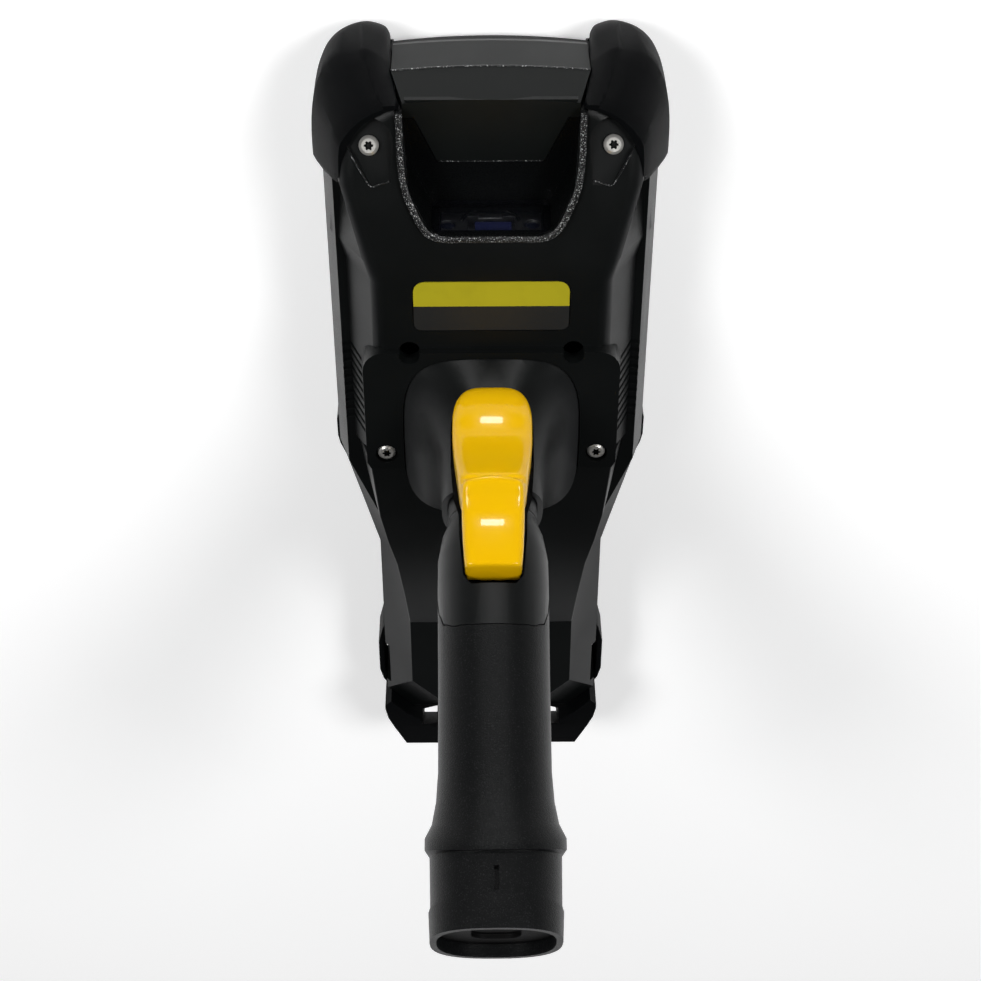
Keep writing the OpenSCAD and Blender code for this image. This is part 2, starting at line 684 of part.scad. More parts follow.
// Zone of the neck cover, whose lower seam hooks up round the sides
module neck_zone(g) {
    half = grip_w / 2;
    right = [[grip_w, neck_top - g], [grip_w, neck_end - 18], [half + 1 + g, neck_end - 18],
        [half + 0.2 + g, neck_end - 12], [half - 0.4 + g, neck_end - 6], [half - 1.6 + g, neck_end - 1.6 + g],
        [half - 4, neck_end + 0.2 + g], [half / 3, neck_end + 0.7 + g]];
    intersection() {
        translate([-grip_w, neck_back - g, 0]) cube([2 * grip_w, 40, handle_l]);
        rotate([90, 0, 0]) translate([0, 0, -60]) linear_extrude(80) polygon(both_sides(right));
    }
}

// Slot that the trigger swings in, and the hollow behind it for the switch
room_back = 1.5;
module trigger_room() {
    up = trigger_w / 2 + run_gap;
    low = trigger_low_w / 2 + run_gap;
    end = trigger_top + trigger_l;
    // The toe of the trigger dips as it swings
    dip = (trigger_face + 4 - pivot_d) * sin(trigger_swing);
    rotate([-90, 0, 0]) mirror([0, 1, 0]) translate([0, 0, room_back]) linear_extrude(60) union() {
        polygon(both_sides([[low - 3, end + dip + run_gap], [low - 1, end - 2 + dip], [low, trigger_ridge + 10],
            [low + 0.2, trigger_ridge + 3], [up - 0.6, trigger_ridge - 3], [up, trigger_ridge - 11],
            [up, trigger_top - run_gap + up]]));
        intersection() {
            translate([0, trigger_top - run_gap + up]) circle(r = up);
            translate([0, trigger_top - run_gap + up / 2]) square([2 * up, up + 0.2], center = true);
        }
    }
}
module works_room() {
    translate([-8, -14, 8]) cube([16, 14 + room_back - 2, 46]);
    translate([-4, -2, 38]) cube([8, 8, 12]);
}

module grip_shell() {
    color("#2c2f31") in_handle() difference() {
        grip_outer(0);
        battery_well();
        neck_zone(seam);
        trigger_room();
        works_room();
        latch_cut();
        release_slot();
        pin_hole();
    }
}

cover_t = 1.8;
module neck_cover() {
    color("#33363a") in_handle() difference() {
        intersection() {
            grip_outer(0);
            neck_zone(0);
        }
        grip_outer(cover_t);
        trigger_room();
    }
}

shroud_levels = 10;
module shroud_form(g) {
    top = ring(shroud_top, grip_w - plug_in + 3.4 - 2 * g, grip_back + 2.6 - g, grip_front - 3.4 - g);
    base = arch(-g);
    n = len(base);
    z0 = back_z - wall - 1.3;
    z1 = back_z + block_rise - 0.2;
    // The sides sweep in quickly, the front and back rise in a straight line
    loft(concat([lift(base, z0)], [for (j = [0:shroud_levels]) let (u = j / shroud_levels,
            in = 1 - pow(1 - u, 2.4), up = pow(u, 1.2))
        [for (i = [0:n - 1]) let (b = top[i], y = grip_y(b[2], b[1]), z = grip_z(b[2], b[1]))
            [mix(base[i][0], b[0], in), mix(base[i][1], y, up), mix(z1, z, up)]]]));
}

module trigger_shroud() {
    color("#2f3236") difference() {
        shroud_form(0);
        in_handle() {
            trigger_room();
            works_room();
            grip_seat();
            pin_hole();
        }
        handle_duct();
    }
}
// Room for the handle's upper end, which plugs into the shroud
module grip_seat() {
    w = grip_w - plug_in + 2 * seam;
    loft([ring(14 - seam, w, grip_back + 2 + seam, grip_front - 6 + seam),
        ring(shroud_top - 1, w, grip_back + 1 + seam, grip_front - 5 + seam),
        ring(shroud_top + 5, w, grip_back + 0.8 + seam, grip_front - 2.6 + seam)]);
}

module handle_saddle() {
    z0 = tail_back_z;
    // y, width of the top, width of the foot, height
    stations = [[hood_tail_y - seam, block_w - 1.5, block_w + 6, back_z + 0.4],
        [hood_tail_y - 20, block_w - 5, block_w - 0.5, back_z - 0.8],
        [hood_tail_y - 30, block_w - 8.5, block_w - 5, back_z - 1.8],
        [hood_tail_y - 40, block_w - 13, block_w - 10, back_z - 3.2],
        [hood_tail_y - 56, tail_flat_w + 2, tail_flat_w + 4, back_z - 6.6],
        [hood_tail_y - 72, tail_flat_w, tail_flat_w + 0.4, z0 + 0.8]];
    color("#303337") difference() {
        loft([for (q = [len(stations) - 1:-1:0]) let (s = stations[q])
            [[-s[2] / 2, s[0], z0], [-s[1] / 2, s[0], s[3]], [0, s[0], s[3] + 0.4], [s[1] / 2, s[0], s[3]],
             [s[2] / 2, s[0], z0]]]);
        translate([0, 0, back_z - wall - 1.5]) linear_extrude(40) polygon(arch(seam));
        // Hollow underside
        translate([0, hood_tail_y - 30, z0 - 1]) round_box(36, 50, 6, 6);
    }
}

pivot_s = 10;
pivot_d = 6;
switch_s = 44;
rib_d = 10;
pin_l = trigger_w + 2 * run_gap + 4;
module pin_hole() {
    translate([0, pivot_d, pivot_s]) rotate([0, 90, 0]) cylinder(d = pin_d, h = pin_l, center = true);
}
module trigger_pin() {
    color("silver") in_handle() translate([0, pivot_d, pivot_s]) rotate([0, 90, 0])
        cylinder(d = pin_d, h = pin_l, center = true);
}

trigger_face = grip_front + 2;
module trigger() {
    f = trigger_face;
    t0 = trigger_top;
    t1 = trigger_top + trigger_l;
    mid = trigger_ridge;
    lobe = trigger_w / 2;
    low = trigger_low_w / 2;
    color("#f2c500") in_handle() difference() {
        union() {
            // Upper lobe
            intersection() {
                side_bar([[pivot_d - 3, t0 + 2], [f - 5, t0], [f - 2, t0 + 1], [f - 0.4, t0 + 5], [f + 0.4, t0 + 12],
                    [f + 2, mid - 10], [f + 4.6, mid - 4], [f + 6.6, mid], [f - 3, mid + 3], [pivot_d + 4, mid + 3],
                    [pivot_d - 3, t0 + 14]], trigger_w);
                rotate([90, 0, 0]) translate([0, 0, -60]) linear_extrude(80) polygon(both_sides(concat(
                    [[low + 0.4, mid + 3.2], [lobe - 1, mid - 3], [lobe, mid - 11]],
                    arc(0, t0 + lobe, lobe, 0, -90, 12))));
            }
            // Lower lobe
            intersection() {
                side_bar([[f - 5, mid - 2], [f + 6.6, mid - 0.6], [f + 7, mid + 0.6], [f + 5, mid + 5], [f + 4, mid + 10],
                    [f + 3.8, mid + 16], [f + 4, t1 - 3], [f + 2.6, t1 - 0.6], [f + 1, t1], [f - 6, t1],
                    [f - 9, mid + 8], [f - 9, mid]], trigger_low_w);
                rotate([90, 0, 0]) translate([0, 0, -60]) linear_extrude(80) polygon(both_sides(concat(
                    arc(low - 3.4, t1 - 2.4, 2.4, 90, 0, 5), [[low, mid + 10], [low - 0.5, mid + 1]],
                    arc(0, mid + 13.4, 14.4, -62, -90, 4))));
            }
            // Rib that works the switch
            translate([-2, rib_d, switch_s - 2]) cube([4, f - 8 - rib_d, 4]);
        }
        translate([0, pivot_d, pivot_s]) rotate([0, 90, 0]) cylinder(d = pin_d + 2 * pin_gap, h = 60, center = true);
        // Slot for the torsion spring
        translate([0, pivot_d, pivot_s]) cube([7, 9, 9], center = true);
    }
}

// Torsion spring on the pin: a coil whose two straight legs rest on the shroud and on the trigger
spring_wire = 0.8;
spring_turns = 3.25;
spring_pitch = 0.95;
module trigger_spring() {
    coil_r = pin_d / 2 + 0.15 + spring_wire / 2;
    steps = 52;
    function section(x, d, s, a) = [for (i = [0:7]) let (b = 45 * i)
        [x + spring_wire / 2 * cos(b), d + spring_wire / 2 * sin(b) * cos(a), s + spring_wire / 2 * sin(b) * sin(a)]];
    x0 = -spring_turns * spring_pitch / 2;
    color("silver") in_handle() translate([0, pivot_d, pivot_s]) loft(concat(
        [section(x0, room_back + 0.3 - pivot_d, -coil_r, 270)],
        [for (i = [0:steps]) let (u = i / steps, a = 270 + 360 * spring_turns * u)
            section(x0 + u * spring_turns * spring_pitch, coil_r * cos(a), coil_r * sin(a), a)],
        [section(-x0, coil_r, 4, 360)]));
}

module trigger_switch() {
    swept = (switch_s - pivot_s) * sin(trigger_swing);
    color("#8a1f1f") in_handle() {
        translate([-6, -13.5, switch_s - 3]) cube([12, 13, 6]);
        translate([-1, -1, switch_s - 1.2]) cube([2, 1 + rib_d - swept - 0.3, 2.4]);
    }
}

module battery_pack() {
    color("#1c1d20") in_handle() translate([0, well_mid, battery_top]) {
        round_box(battery_w, battery_d, battery_l - cap_h, pack_corner);
        // End cap with a finger recess
        difference() {
            translate([0, -well_mid, battery_l - cap_h]) linear_extrude(cap_h)
                polygon([for (p = ring(0, grip_w - 0.2, grip_back - 0.8, grip_front - 0.8)) [p[0], p[1]]]);
            translate([0, 0, battery_l - 1.2]) round_box(12, 20, 4, 4);
        }
    }
}

latch_s = handle_l - 14;
latch_travel = 1.5;
latch_w = 11;
latch_l = 8;
module latch_cut() {
    translate([0, -grip_back - 3, latch_s]) rotate([90, 0, 0])
        translate([0, 0, -12]) round_box(latch_w + 2 * run_gap, latch_l + 2 * run_gap, 24, 1.6);
}
// Narrow slot in front of the foot
module release_slot() {
    translate([0, grip_front + collar_rise, latch_s + 2.5]) cube([1.2, 5, 5.6], center = true);
}
module battery_latch() {
    color("#202225") in_handle() translate([0, -grip_back, latch_s]) rotate([90, 0, 0])
        round_box(latch_w, latch_l, collar_rise + latch_travel - 0.7, 1.4);
}

module battery_contacts() {
    color("#b08d3a") in_handle() translate([0, well_mid, battery_top - 3]) {
        difference() {
            round_box(16, 20, 2.6, 1);
            for (i = [-2:2]) translate([0, i * 3.6, 2]) cube([7, 1, 3], center = true);
        }
    }
}

// ---- Inside and front ----
module display_glass() {
    color("#0d0f12") translate([0, glass_y, face_z]) round_box(glass_w, glass_l, glass_t, 3.8);
}
module lcd_module() {
    rim = 2 * glass_ledge - 2;
    color("#4a4f55") translate([0, glass_y, face_z + wall]) round_box(glass_w - rim, glass_l - rim, 6, 1.5);
}
board_t = 1.6;
board_y0 = y_tail + 8;
board_y1 = bay_y - 4;
// Chips and connectors on the main board: x, y, width, length, height
board_chips = [[-12, waist_y - 23, 22, 22, 2], [-8, shoulder_y + 22, 26, 16, 2.4], [4, y_tail + 20, 12, 9, 3]];
module main_board() {
    color("#1f5a36") translate([0, 0, board_z]) {
        difference() {
            linear_extrude(board_t) intersection() {
                polygon(plan(tail_w, head_w, wall + 1.4));
                translate([0, (board_y0 + board_y1) / 2]) square([head_w, board_y1 - board_y0], center = true);
            }
            mirrored() translate([block_screw_x, block_screw_y, -1]) cylinder(d = pillar_d + 1, h = 4);
        }
        for (c = board_chips) translate([c[0], c[1], board_t]) cube([c[2], c[3], c[4]]);
    }
}
module keypad_board() {
    color("#2a2c2e") translate([0, (key_y(1) + key_y(5)) / 2 + key_pitch_y / 2, keypad_z])
        round_box(4 * key_pitch_x - 0.6, 6 * key_pitch_y + 1, 1.6, 2);
}
module speaker() {
    color("#3a3a3c") translate([0, speaker_y, face_z + wall]) cylinder(d = speaker_d, h = 3.4);
}
dock_w = 30;
dock_h = 8;
dock_z = face_z + 9;
module dock_connector() {
    color("#6d6f73") translate([0, y_tail + 0.4, dock_z]) difference() {
        cube([dock_w, 5, dock_h], center = true);
        for (i = [-5:5]) translate([i * 2.4, -2.5, 0]) cube([1.1, 2, 4.6], center = true);
    }
}

// A key cap that stands out of the face, and its flange inside the plate
key_proud = key_travel + 0.5;
module key_cap() {
    translate([0, 0, face_z - key_proud]) round_box(key_w, key_l, wall + key_proud, 1.8);
    translate([0, 0, face_z + wall]) round_box(key_w + 2 * key_flange, key_l + 2 * key_flange, flange_t, 2.4);
}
module key(r, c) {
    color("#3d4044") translate([key_x(c), key_y(r), 0]) key_cap();
}
module power_key() {
    color("#a03028") translate([power_x, power_y, 0]) key_cap();
}
module scan_key() {
    color("#d9b21a") translate([0, power_y, 0]) {
        translate([0, 0, face_z - key_proud]) round_box(scan_key_w, key_l, wall + key_proud, 3.6);
        translate([0, 0, face_z + wall])
            round_box(scan_key_w + 2 * key_flange, key_l + 2 * key_flange, flange_t, 4.2);
    }
}

rear_housing();
front_housing();
housing_seal();
nose_band();
mirror([1, 0, 0]) head_bumper();  // head_bumper_left
head_bumper();  // head_bumper_right
mirror([1, 0, 0]) tail_bumper();  // tail_bumper_left
tail_bumper();  // tail_bumper_right
mirror([1, 0, 0]) strap_loop();  // strap_loop_left
strap_loop();  // strap_loop_right
scan_bezel();
scan_window();
scan_engine();
aimer_lens();
camera_lens();
label_yellow();
label_grey();
trigger_shroud();
handle_saddle();
neck_cover();
grip_shell();
trigger();
trigger_pin();
trigger_spring();
trigger_switch();
battery_pack();
battery_latch();
battery_contacts();
hood_screws();
block_screws();
display_glass();
lcd_module();
main_board();
keypad_board();
speaker();
dock_connector();
power_key();
scan_key();
for (r = [1:5], c = [1:4]) key(r, c);
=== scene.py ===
import json
import math

import bpy
from bpy.props import FloatProperty, FloatVectorProperty, PointerProperty
from mathutils import Matrix, Vector

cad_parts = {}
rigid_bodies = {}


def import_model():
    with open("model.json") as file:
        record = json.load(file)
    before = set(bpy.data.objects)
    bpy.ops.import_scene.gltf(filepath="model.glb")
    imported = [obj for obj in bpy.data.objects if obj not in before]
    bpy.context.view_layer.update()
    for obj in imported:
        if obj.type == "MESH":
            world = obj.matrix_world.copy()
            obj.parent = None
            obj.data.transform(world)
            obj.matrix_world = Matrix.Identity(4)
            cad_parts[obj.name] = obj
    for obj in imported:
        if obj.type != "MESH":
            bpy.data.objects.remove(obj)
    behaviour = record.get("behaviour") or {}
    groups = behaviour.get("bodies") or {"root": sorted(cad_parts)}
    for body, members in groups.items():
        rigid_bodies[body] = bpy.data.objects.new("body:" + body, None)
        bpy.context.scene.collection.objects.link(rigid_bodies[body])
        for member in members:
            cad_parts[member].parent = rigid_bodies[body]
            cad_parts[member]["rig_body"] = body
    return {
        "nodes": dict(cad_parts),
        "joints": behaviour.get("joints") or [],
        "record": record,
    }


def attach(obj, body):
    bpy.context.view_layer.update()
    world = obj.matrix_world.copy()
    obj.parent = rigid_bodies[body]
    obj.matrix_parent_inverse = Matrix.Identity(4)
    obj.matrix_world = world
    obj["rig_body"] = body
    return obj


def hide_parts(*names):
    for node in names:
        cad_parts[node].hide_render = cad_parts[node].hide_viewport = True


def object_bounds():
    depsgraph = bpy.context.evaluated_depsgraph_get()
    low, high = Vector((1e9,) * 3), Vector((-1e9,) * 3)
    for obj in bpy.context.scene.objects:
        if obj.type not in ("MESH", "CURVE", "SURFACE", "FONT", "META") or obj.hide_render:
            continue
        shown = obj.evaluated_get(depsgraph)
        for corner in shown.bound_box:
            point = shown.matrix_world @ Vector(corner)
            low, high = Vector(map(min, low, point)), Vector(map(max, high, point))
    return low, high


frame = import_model()
CAD_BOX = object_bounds()

bl_info = {
    "name": "Pistol-grip data terminal",
    "version": (1, 0, 0),
    "blender": (4, 5, 0),
    "location": "3D View > Sidebar > Terminal",
    "description": "Dresses the frame of a pistol-grip data terminal",
    "category": "Object",
}

MM = 0.001
FIXED = "body"
JOINTS = {joint["name"]: joint for joint in frame["joints"]}
SLOT_OF = {part["node"]: part["material_slot"] for part in frame["record"]["subparts"]}

# The handle's own frame: its axis, the way that the trigger faces, and its root, from which the trigger's pin
# lies a little to the front and down the handle
AXIS = Vector(JOINTS["battery_slide"]["axis"])
FRONT = Vector((0, AXIS.z, -AXIS.y))
PIN_FRONT, PIN_DOWN = 6 * MM, 10 * MM
ROOT = Vector(JOINTS["trigger_pull"]["pos_m"]) - FRONT * PIN_FRONT - AXIS * PIN_DOWN

# The back of the hood, in millimetres: its height, where it starts to fall, and its fall for each one forwards
HOOD_HEIGHT, HOOD_BEND, HOOD_FALL = 46.0, 76, 0.1853


def on_hood(x, y, lift):
    """A point over the back of the hood, in millimetres, with its height above the surface."""
    return x, y, HOOD_HEIGHT - max(0, y - HOOD_BEND) * HOOD_FALL + lift


# ---- Settings ----


def length(name, description, default):
    return FloatProperty(name=name, description=description, default=default, min=0.0, unit="LENGTH")


def share(name, description, default):
    return FloatProperty(name=name, description=description, default=default, min=0.0, max=1.0, subtype="FACTOR")


def watts(name, description, default):
    return FloatProperty(name=name, description=description, default=default, min=0.0, unit="POWER")


def turn(name, description, degrees):
    return FloatProperty(name=name, description=description, default=math.radians(degrees), subtype="ANGLE")


def tint(name, description, default):
    return FloatVectorProperty(name=name, description=description, default=default, size=3, min=0.0, max=1.0,
                               subtype="COLOR")


class TerminalPlastics(bpy.types.PropertyGroup):
    """Colours and grain of the moulded plastics and rubbers."""

    housing: tint("Housing", "Colour of the rear housing, shroud and saddle", (0.0034, 0.0040, 0.0040))
    front: tint("Front", "Colour of the front housing", (0.0028, 0.0032, 0.0034))
    nose: tint("Nose", "Colour of the nose band", (0.0060, 0.0070, 0.0067))
    grip: tint("Grip", "Colour of the grip shell", (0.0030, 0.0034, 0.0036))
    rubber: tint("Rubber", "Colour of the bumpers and strap loops", (0.0022, 0.0025, 0.0028))
    seal: tint("Seal", "Colour of the seal between the housings", (0.004, 0.004, 0.0045))
    battery: tint("Battery", "Colour of the battery pack", (0.002, 0.002, 0.002))
    grain: length("Grain", "Size of the grain of the moulded plastic", 0.22 * MM)
    speckle: length("Speckle", "Size of the coarse texture on the grip and the scan bezel", 0.42 * MM)
    roughness: share("Roughness", "Roughness of the moulded plastic", 0.36)


class TerminalEdges(bpy.types.PropertyGroup):
    """Radii of the moulded edges."""

    housing: length("Housing", "Edge radius of the housings", 0.5 * MM)
    fine: length("Fine", "Edge radius of the handle, the keys and small parts", 0.25 * MM)
    screws: length("Screws", "Edge radius of the screw heads", 0.25 * MM / 3)
    rubber: length("Rubber", "Edge radius of the tail bumpers and the saddle", 0.9 * MM)


class TerminalTrigger(bpy.types.PropertyGroup):
    """The trigger's finish."""

    colour: tint("Colour", "Colour of the trigger", (0.80, 0.46, 0.0015))
    gloss: share("Gloss", "Weight of the clear gloss on the trigger", 0.35)


class TerminalLabel(bpy.types.PropertyGroup):
    """The two-part label."""

    upper: tint("Upper half", "Colour of the upper half", (0.42, 0.37, 0.012))
    lower: tint("Lower half", "Colour of the lower half", (0.011, 0.0115, 0.0115))


class TerminalKeys(bpy.types.PropertyGroup):
    """Key caps and their figures."""

    caps: tint("Caps", "Colour of the key caps", (0.030, 0.031, 0.033))
    power: tint("Power key", "Colour of the power key", (0.32, 0.018, 0.012))
    ink: tint("Figures", "Colour of the printed figures", (0.62, 0.62, 0.60))
    height: length("Figure height", "Type size of the figures", 4.2 * MM)


class TerminalGlass(bpy.types.PropertyGroup):
    """Window, lenses and display."""

    window: tint("Window", "Colour of the scan window", (0.004, 0.0045, 0.007))
    density: share("Window density", "How much of the light the scan window stops", 0.22)
    filter: tint("Filter", "Colour of the filter on the scan engine", (0.020, 0.025, 0.090))
    lens: tint("Lenses", "Colour of the lenses", (0.006, 0.008, 0.018))
    display: tint("Display", "Colour of the display glass", (0.003, 0.003, 0.0035))


class TerminalMetals(bpy.types.PropertyGroup):
    """Screws and the working parts inside."""

    engine: tint("Engine", "Colour of the scan engine and the other fittings", (0.30, 0.31, 0.32))
    screws: tint("Screws", "Colour of the screw heads", (0.55, 0.54, 0.51))
    # Painted shade: the screw recess is the same steel as the head, darkened in colour for the shade inside it
    recess: tint("Screw recess", "Colour of the shaded recess in each screw head", (0.016, 0.016, 0.016))
    contacts: tint("Contacts", "Colour of the battery and dock contacts", (0.68, 0.47, 0.17))
    boards: tint("Boards", "Colour of the circuit boards", (0.010, 0.060, 0.028))
    switch: tint("Switch", "Colour of the trigger switch", (0.25, 0.012, 0.010))


class TerminalStage(bpy.types.PropertyGroup):
    """Floor, lamps and camera."""

    floor: tint("Floor", "Colour of the floor", (0.82, 0.82, 0.82))
    far_floor: share("Far floor", "Brightness of the floor beyond the scan head, as a share of the rest", 0.35)
    glow: share("Floor glow", "Brightness that the floor adds where it is seen or mirrored", 0.42)
    side_power: watts("Side lamps", "Power of each side lamp", 5.0)
    head_power: watts("Head lamp", "Power of the lamp beyond the scan head", 2.0)
    tail_power: watts("Tail lamp", "Power of the low lamp behind the tail", 0.4)
    pitch: turn("Camera pitch", "Tilt of the view away from straight down", 40)
    lean: turn("Camera lean", "Turn of the view about the length of the body", -0.53)
    lens: FloatProperty(name="Focal length", description="Focal length of the camera, in millimetres of a full frame",
                        default=69.58, min=1.0, unit="CAMERA")


# ---- Shader maths ----

# Where a Mix node set to colours has its factor and its two colours, and its result
COLOUR_MIX_INPUTS, COLOUR_MIX_OUTPUT = (0, 6, 7), 2


class Value:
    """A number socket that takes part in Python expressions."""

    def __init__(self, nodes, socket):
        self.nodes, self.socket = nodes, socket

    def _math(self, operation, *inputs):
        return Value(self.nodes, self.nodes.node("ShaderNodeMath", {"operation": operation}, *inputs).outputs[0])

    def __add__(self, other):
        return self._math("ADD", self, other)

    def __mul__(self, other):
        return self._math("MULTIPLY", self, other)

    def __sub__(self, other):
        return self._math("SUBTRACT", self, other)

    def __rsub__(self, other):
        return self._math("SUBTRACT", other, self)

    __radd__ = __add__
    __rmul__ = __mul__

    def above(self, level):
        return self._math("GREATER_THAN", self, level)


class Nodes:
    """The nodes of a material or of the surroundings, under construction."""

    def __init__(self, tree):
        self.tree = tree

    def node(self, kind, settings, *inputs, **named):
        """Adds a node, with its settings first and then the values or links of its sockets."""
        made = self.tree.nodes.new(kind)
        for key, value in settings.items():
            if key == "stops":
                ramp = made.color_ramp.elements
                while len(ramp) < len(value):
                    ramp.new(0.5)
                for stop, (at, colour) in zip(ramp, value):
                    stop.position, stop.color = at, colour
            else:
                setattr(made, key, value)
        pairs = list(zip(made.inputs, inputs)) + [(made.inputs[key.replace("_", " ")], v) for key, v in named.items()]
        for socket, value in pairs:
            if value is not None:
                self.feed(socket, value)
        return made

    def feed(self, socket, value):
        """Gives a socket its value, or links it."""
        if isinstance(value, Value):
            value = value.socket
        if isinstance(value, bpy.types.NodeSocket):
            self.tree.links.new(value, socket)
        else:
            socket.default_value = value

    def axis(self, place, name):
        """One coordinate of a place."""
        return Value(self, self.node("ShaderNodeSeparateXYZ", {}, place).outputs[name])

    def spread(self, value, low, high, to_low=0.0, to_high=1.0):
        """Stretches the range from low to high over another range."""
        made = self.node("ShaderNodeMapRange", {"clamp": True}, value, low, high, to_low, to_high)
        return Value(self, made.outputs[0])

    def mix(self, factor, first, second, blend="MIX"):
        """Mixes two colours."""
        made = self.node("ShaderNodeMix", {"data_type": "RGBA", "blend_type": blend})
        for i, value in zip(COLOUR_MIX_INPUTS, (factor, first, second)):
            self.feed(made.inputs[i], value)
        return made.outputs[COLOUR_MIX_OUTPUT]


class Paint(Nodes):
    """A material under construction."""

    def __init__(self, name):
        self.material = bpy.data.materials.new(name)
        self.material.use_nodes = True
        super().__init__(self.material.node_tree)
        self.shader = self.tree.nodes["Principled BSDF"]
        self.place = self.node("ShaderNodeTexCoord", {}).outputs["Object"]

    def noise(self, size, detail=2.0, roughness=0.5):
        """Noise whose features are about size metres wide."""
        made = self.node("ShaderNodeTexNoise", {}, Vector=self.place, Scale=1 / size, Detail=detail,
                         Roughness=roughness)
        return Value(self, made.outputs["Fac"])

    def cells(self, size):
        """Cells about size metres wide, dark in their middles."""
        made = self.node("ShaderNodeTexVoronoi", {"feature": "F1"}, Vector=self.place, Scale=1 / size)
        return Value(self, made.outputs["Distance"])

    def bump(self, height, depth, strength=1.0):
        """Raises the surface by height, a number from 0 to 1, times depth in metres."""
        made = self.node("ShaderNodeBump", {}, Strength=strength, Distance=depth, Height=height)
        self.feed(self.shader.inputs["Normal"], made.outputs[0])

    def set(self, **sockets):
        """Gives the shader's sockets their values or links."""
        for key, value in sockets.items():
            self.feed(self.shader.inputs[key.replace("_", " ")], value)


def rgba(colour, gain=1.0):
    """A colour with its alpha, made lighter or darker by a gain."""
    return tuple(min(1.0, level * gain) for level in colour) + (1.0,)


def moulded_plastic(name, colour, grain, depth, roughness, specular=0.17):
    """Moulded plastic: an even spark-eroded grain, slightly uneven gloss and a trace of handling."""
    paint = Paint(name)
    fine = paint.noise(grain, detail=3.0, roughness=0.65)
    broad = paint.noise(18 * MM, detail=3.0)
    handled = paint.spread(broad, 0.42, 0.72)
    paint.set(
        Base_Color=paint.mix(handled * 0.12 + fine * 0.25, rgba(colour), rgba(colour, 1.7)),
        Roughness=paint.spread(fine, 0.3, 0.7, roughness - 0.05, roughness + 0.05) + handled * 0.05,
        Specular_IOR_Level=specular,
    )
    paint.bump(fine, depth)
    return paint.material


# Pale grey of the painted glints: painted highlights mixed into the colour of speckled plastic
PAINTED_GLINT_COLOUR = (0.55, 0.56, 0.56)


def speckled_plastic(name, colour, speckle, depth, roughness, painted_glints=0.0, specular=0.12):
    """Plastic with a coarse pebbled texture and glints painted into its colour as painted highlights."""
    paint = Paint(name)
    pebbles = paint.cells(speckle)
    fine = paint.noise(speckle * 0.5, detail=2.0, roughness=0.7)
    # Painted highlights: where this noise peaks, the colour turns pale grey in glints that show whatever the lamps do
    painted_glint_noise = paint.noise(speckle * 0.75, detail=1.0)
    height = paint.spread(pebbles, 0.05, 0.6) * 0.7 + fine * 0.5
    paint.set(
        Base_Color=paint.mix(paint.spread(painted_glint_noise, 0.60, 0.70) * painted_glints, rgba(colour), rgba(PAINTED_GLINT_COLOUR)),
        Roughness=paint.spread(fine, 0.3, 0.7, roughness - 0.08, roughness + 0.08),
        Specular_IOR_Level=specular,
    )
    paint.bump(height, depth)
    return paint.material


def soft_rubber(name, colour):
    """Soft-touch rubber with a dull bloom."""
    paint = Paint(name)
    fine = paint.noise(0.18 * MM, detail=3.0, roughness=0.7)
    bloom = paint.spread(paint.noise(22 * MM, detail=4.0), 0.45, 0.75)
    paint.set(
        Base_Color=paint.mix(bloom * 0.35, rgba(colour), rgba(colour, 1.9)),
        Roughness=paint.spread(fine, 0.3, 0.7, 0.42, 0.52) + bloom * 0.06,
        Specular_IOR_Level=0.04,
    )
    paint.bump(fine, 0.03 * MM)
    return paint.material


def gloss_plastic(name, colour, gloss):
    """High-gloss moulded plastic with the faint waviness of a polished tool."""
    paint = Paint(name)
    wave = paint.noise(6 * MM, detail=2.0)
    haze = paint.noise(1.2 * MM, detail=3.0)
    red, green, blue = colour
    warmer = rgba((red, green * 0.92, blue))
    paint.set(
        Base_Color=paint.mix(paint.spread(wave, 0.4, 0.7) * 0.25, rgba(colour), warmer),
        Roughness=paint.spread(haze, 0.3, 0.7, 0.19, 0.27),
        Coat_Weight=gloss, Coat_Roughness=0.05, Specular_IOR_Level=0.12,
    )
    paint.bump(wave, 0.04 * MM, strength=0.5)
    return paint.material


def satin_metal(name, colour, roughness, metallic=1.0):
    """Passivated or satin metal with fine tool marks."""
    paint = Paint(name)
    marks = paint.noise(0.4 * MM, detail=4.0, roughness=0.7)
    paint.set(
        Base_Color=paint.mix(marks, rgba(colour, 0.85), rgba(colour, 1.1)),
        Metallic=metallic,
        Roughness=paint.spread(marks, 0.3, 0.7, roughness - 0.06, roughness + 0.08),
    )
    paint.bump(marks, 0.01 * MM)
    return paint.material


def dark_glass(name, colour, roughness=0.05, density=1.0):
    """Dark coated glass with a trace of smears."""
    paint = Paint(name)
    smear = paint.noise(8 * MM, detail=3.0)
    paint.set(
        Base_Color=paint.mix(smear * 0.4, rgba(colour), rgba(colour, 2.2)),
        Roughness=paint.spread(smear, 0.4, 0.7, roughness, roughness + 0.06),
        Coat_Weight=1.0, Coat_Roughness=0.02, Alpha=density,
    )
    return paint.material


def printed_film(name, colour, roughness):
    """Printed film with a soft emboss from the rollers."""
    paint = Paint(name)
    fibre = paint.noise(0.5 * MM, detail=3.0)
    rub = paint.spread(paint.noise(7 * MM, detail=4.0), 0.5, 0.8)
    paint.set(
        Base_Color=paint.mix(rub * 0.35 + fibre * 0.1, rgba(colour), rgba(colour, 0.72)),
        Roughness=paint.spread(fibre, 0.3, 0.7, roughness, roughness + 0.1),
    )
    paint.bump(fibre, 0.01 * MM)
    return paint.material


def solder_resist(name, colour):
    """The lacquer of a circuit board over its copper."""
    paint = Paint(name)
    copper = paint.cells(2.2 * MM).above(0.35)
    paint.set(Base_Color=paint.mix(copper * 0.5, rgba(colour), rgba(colour, 1.8)), Roughness=0.35)
    paint.bump(copper, 0.03 * MM)
    return paint.material


FINISHES = {}


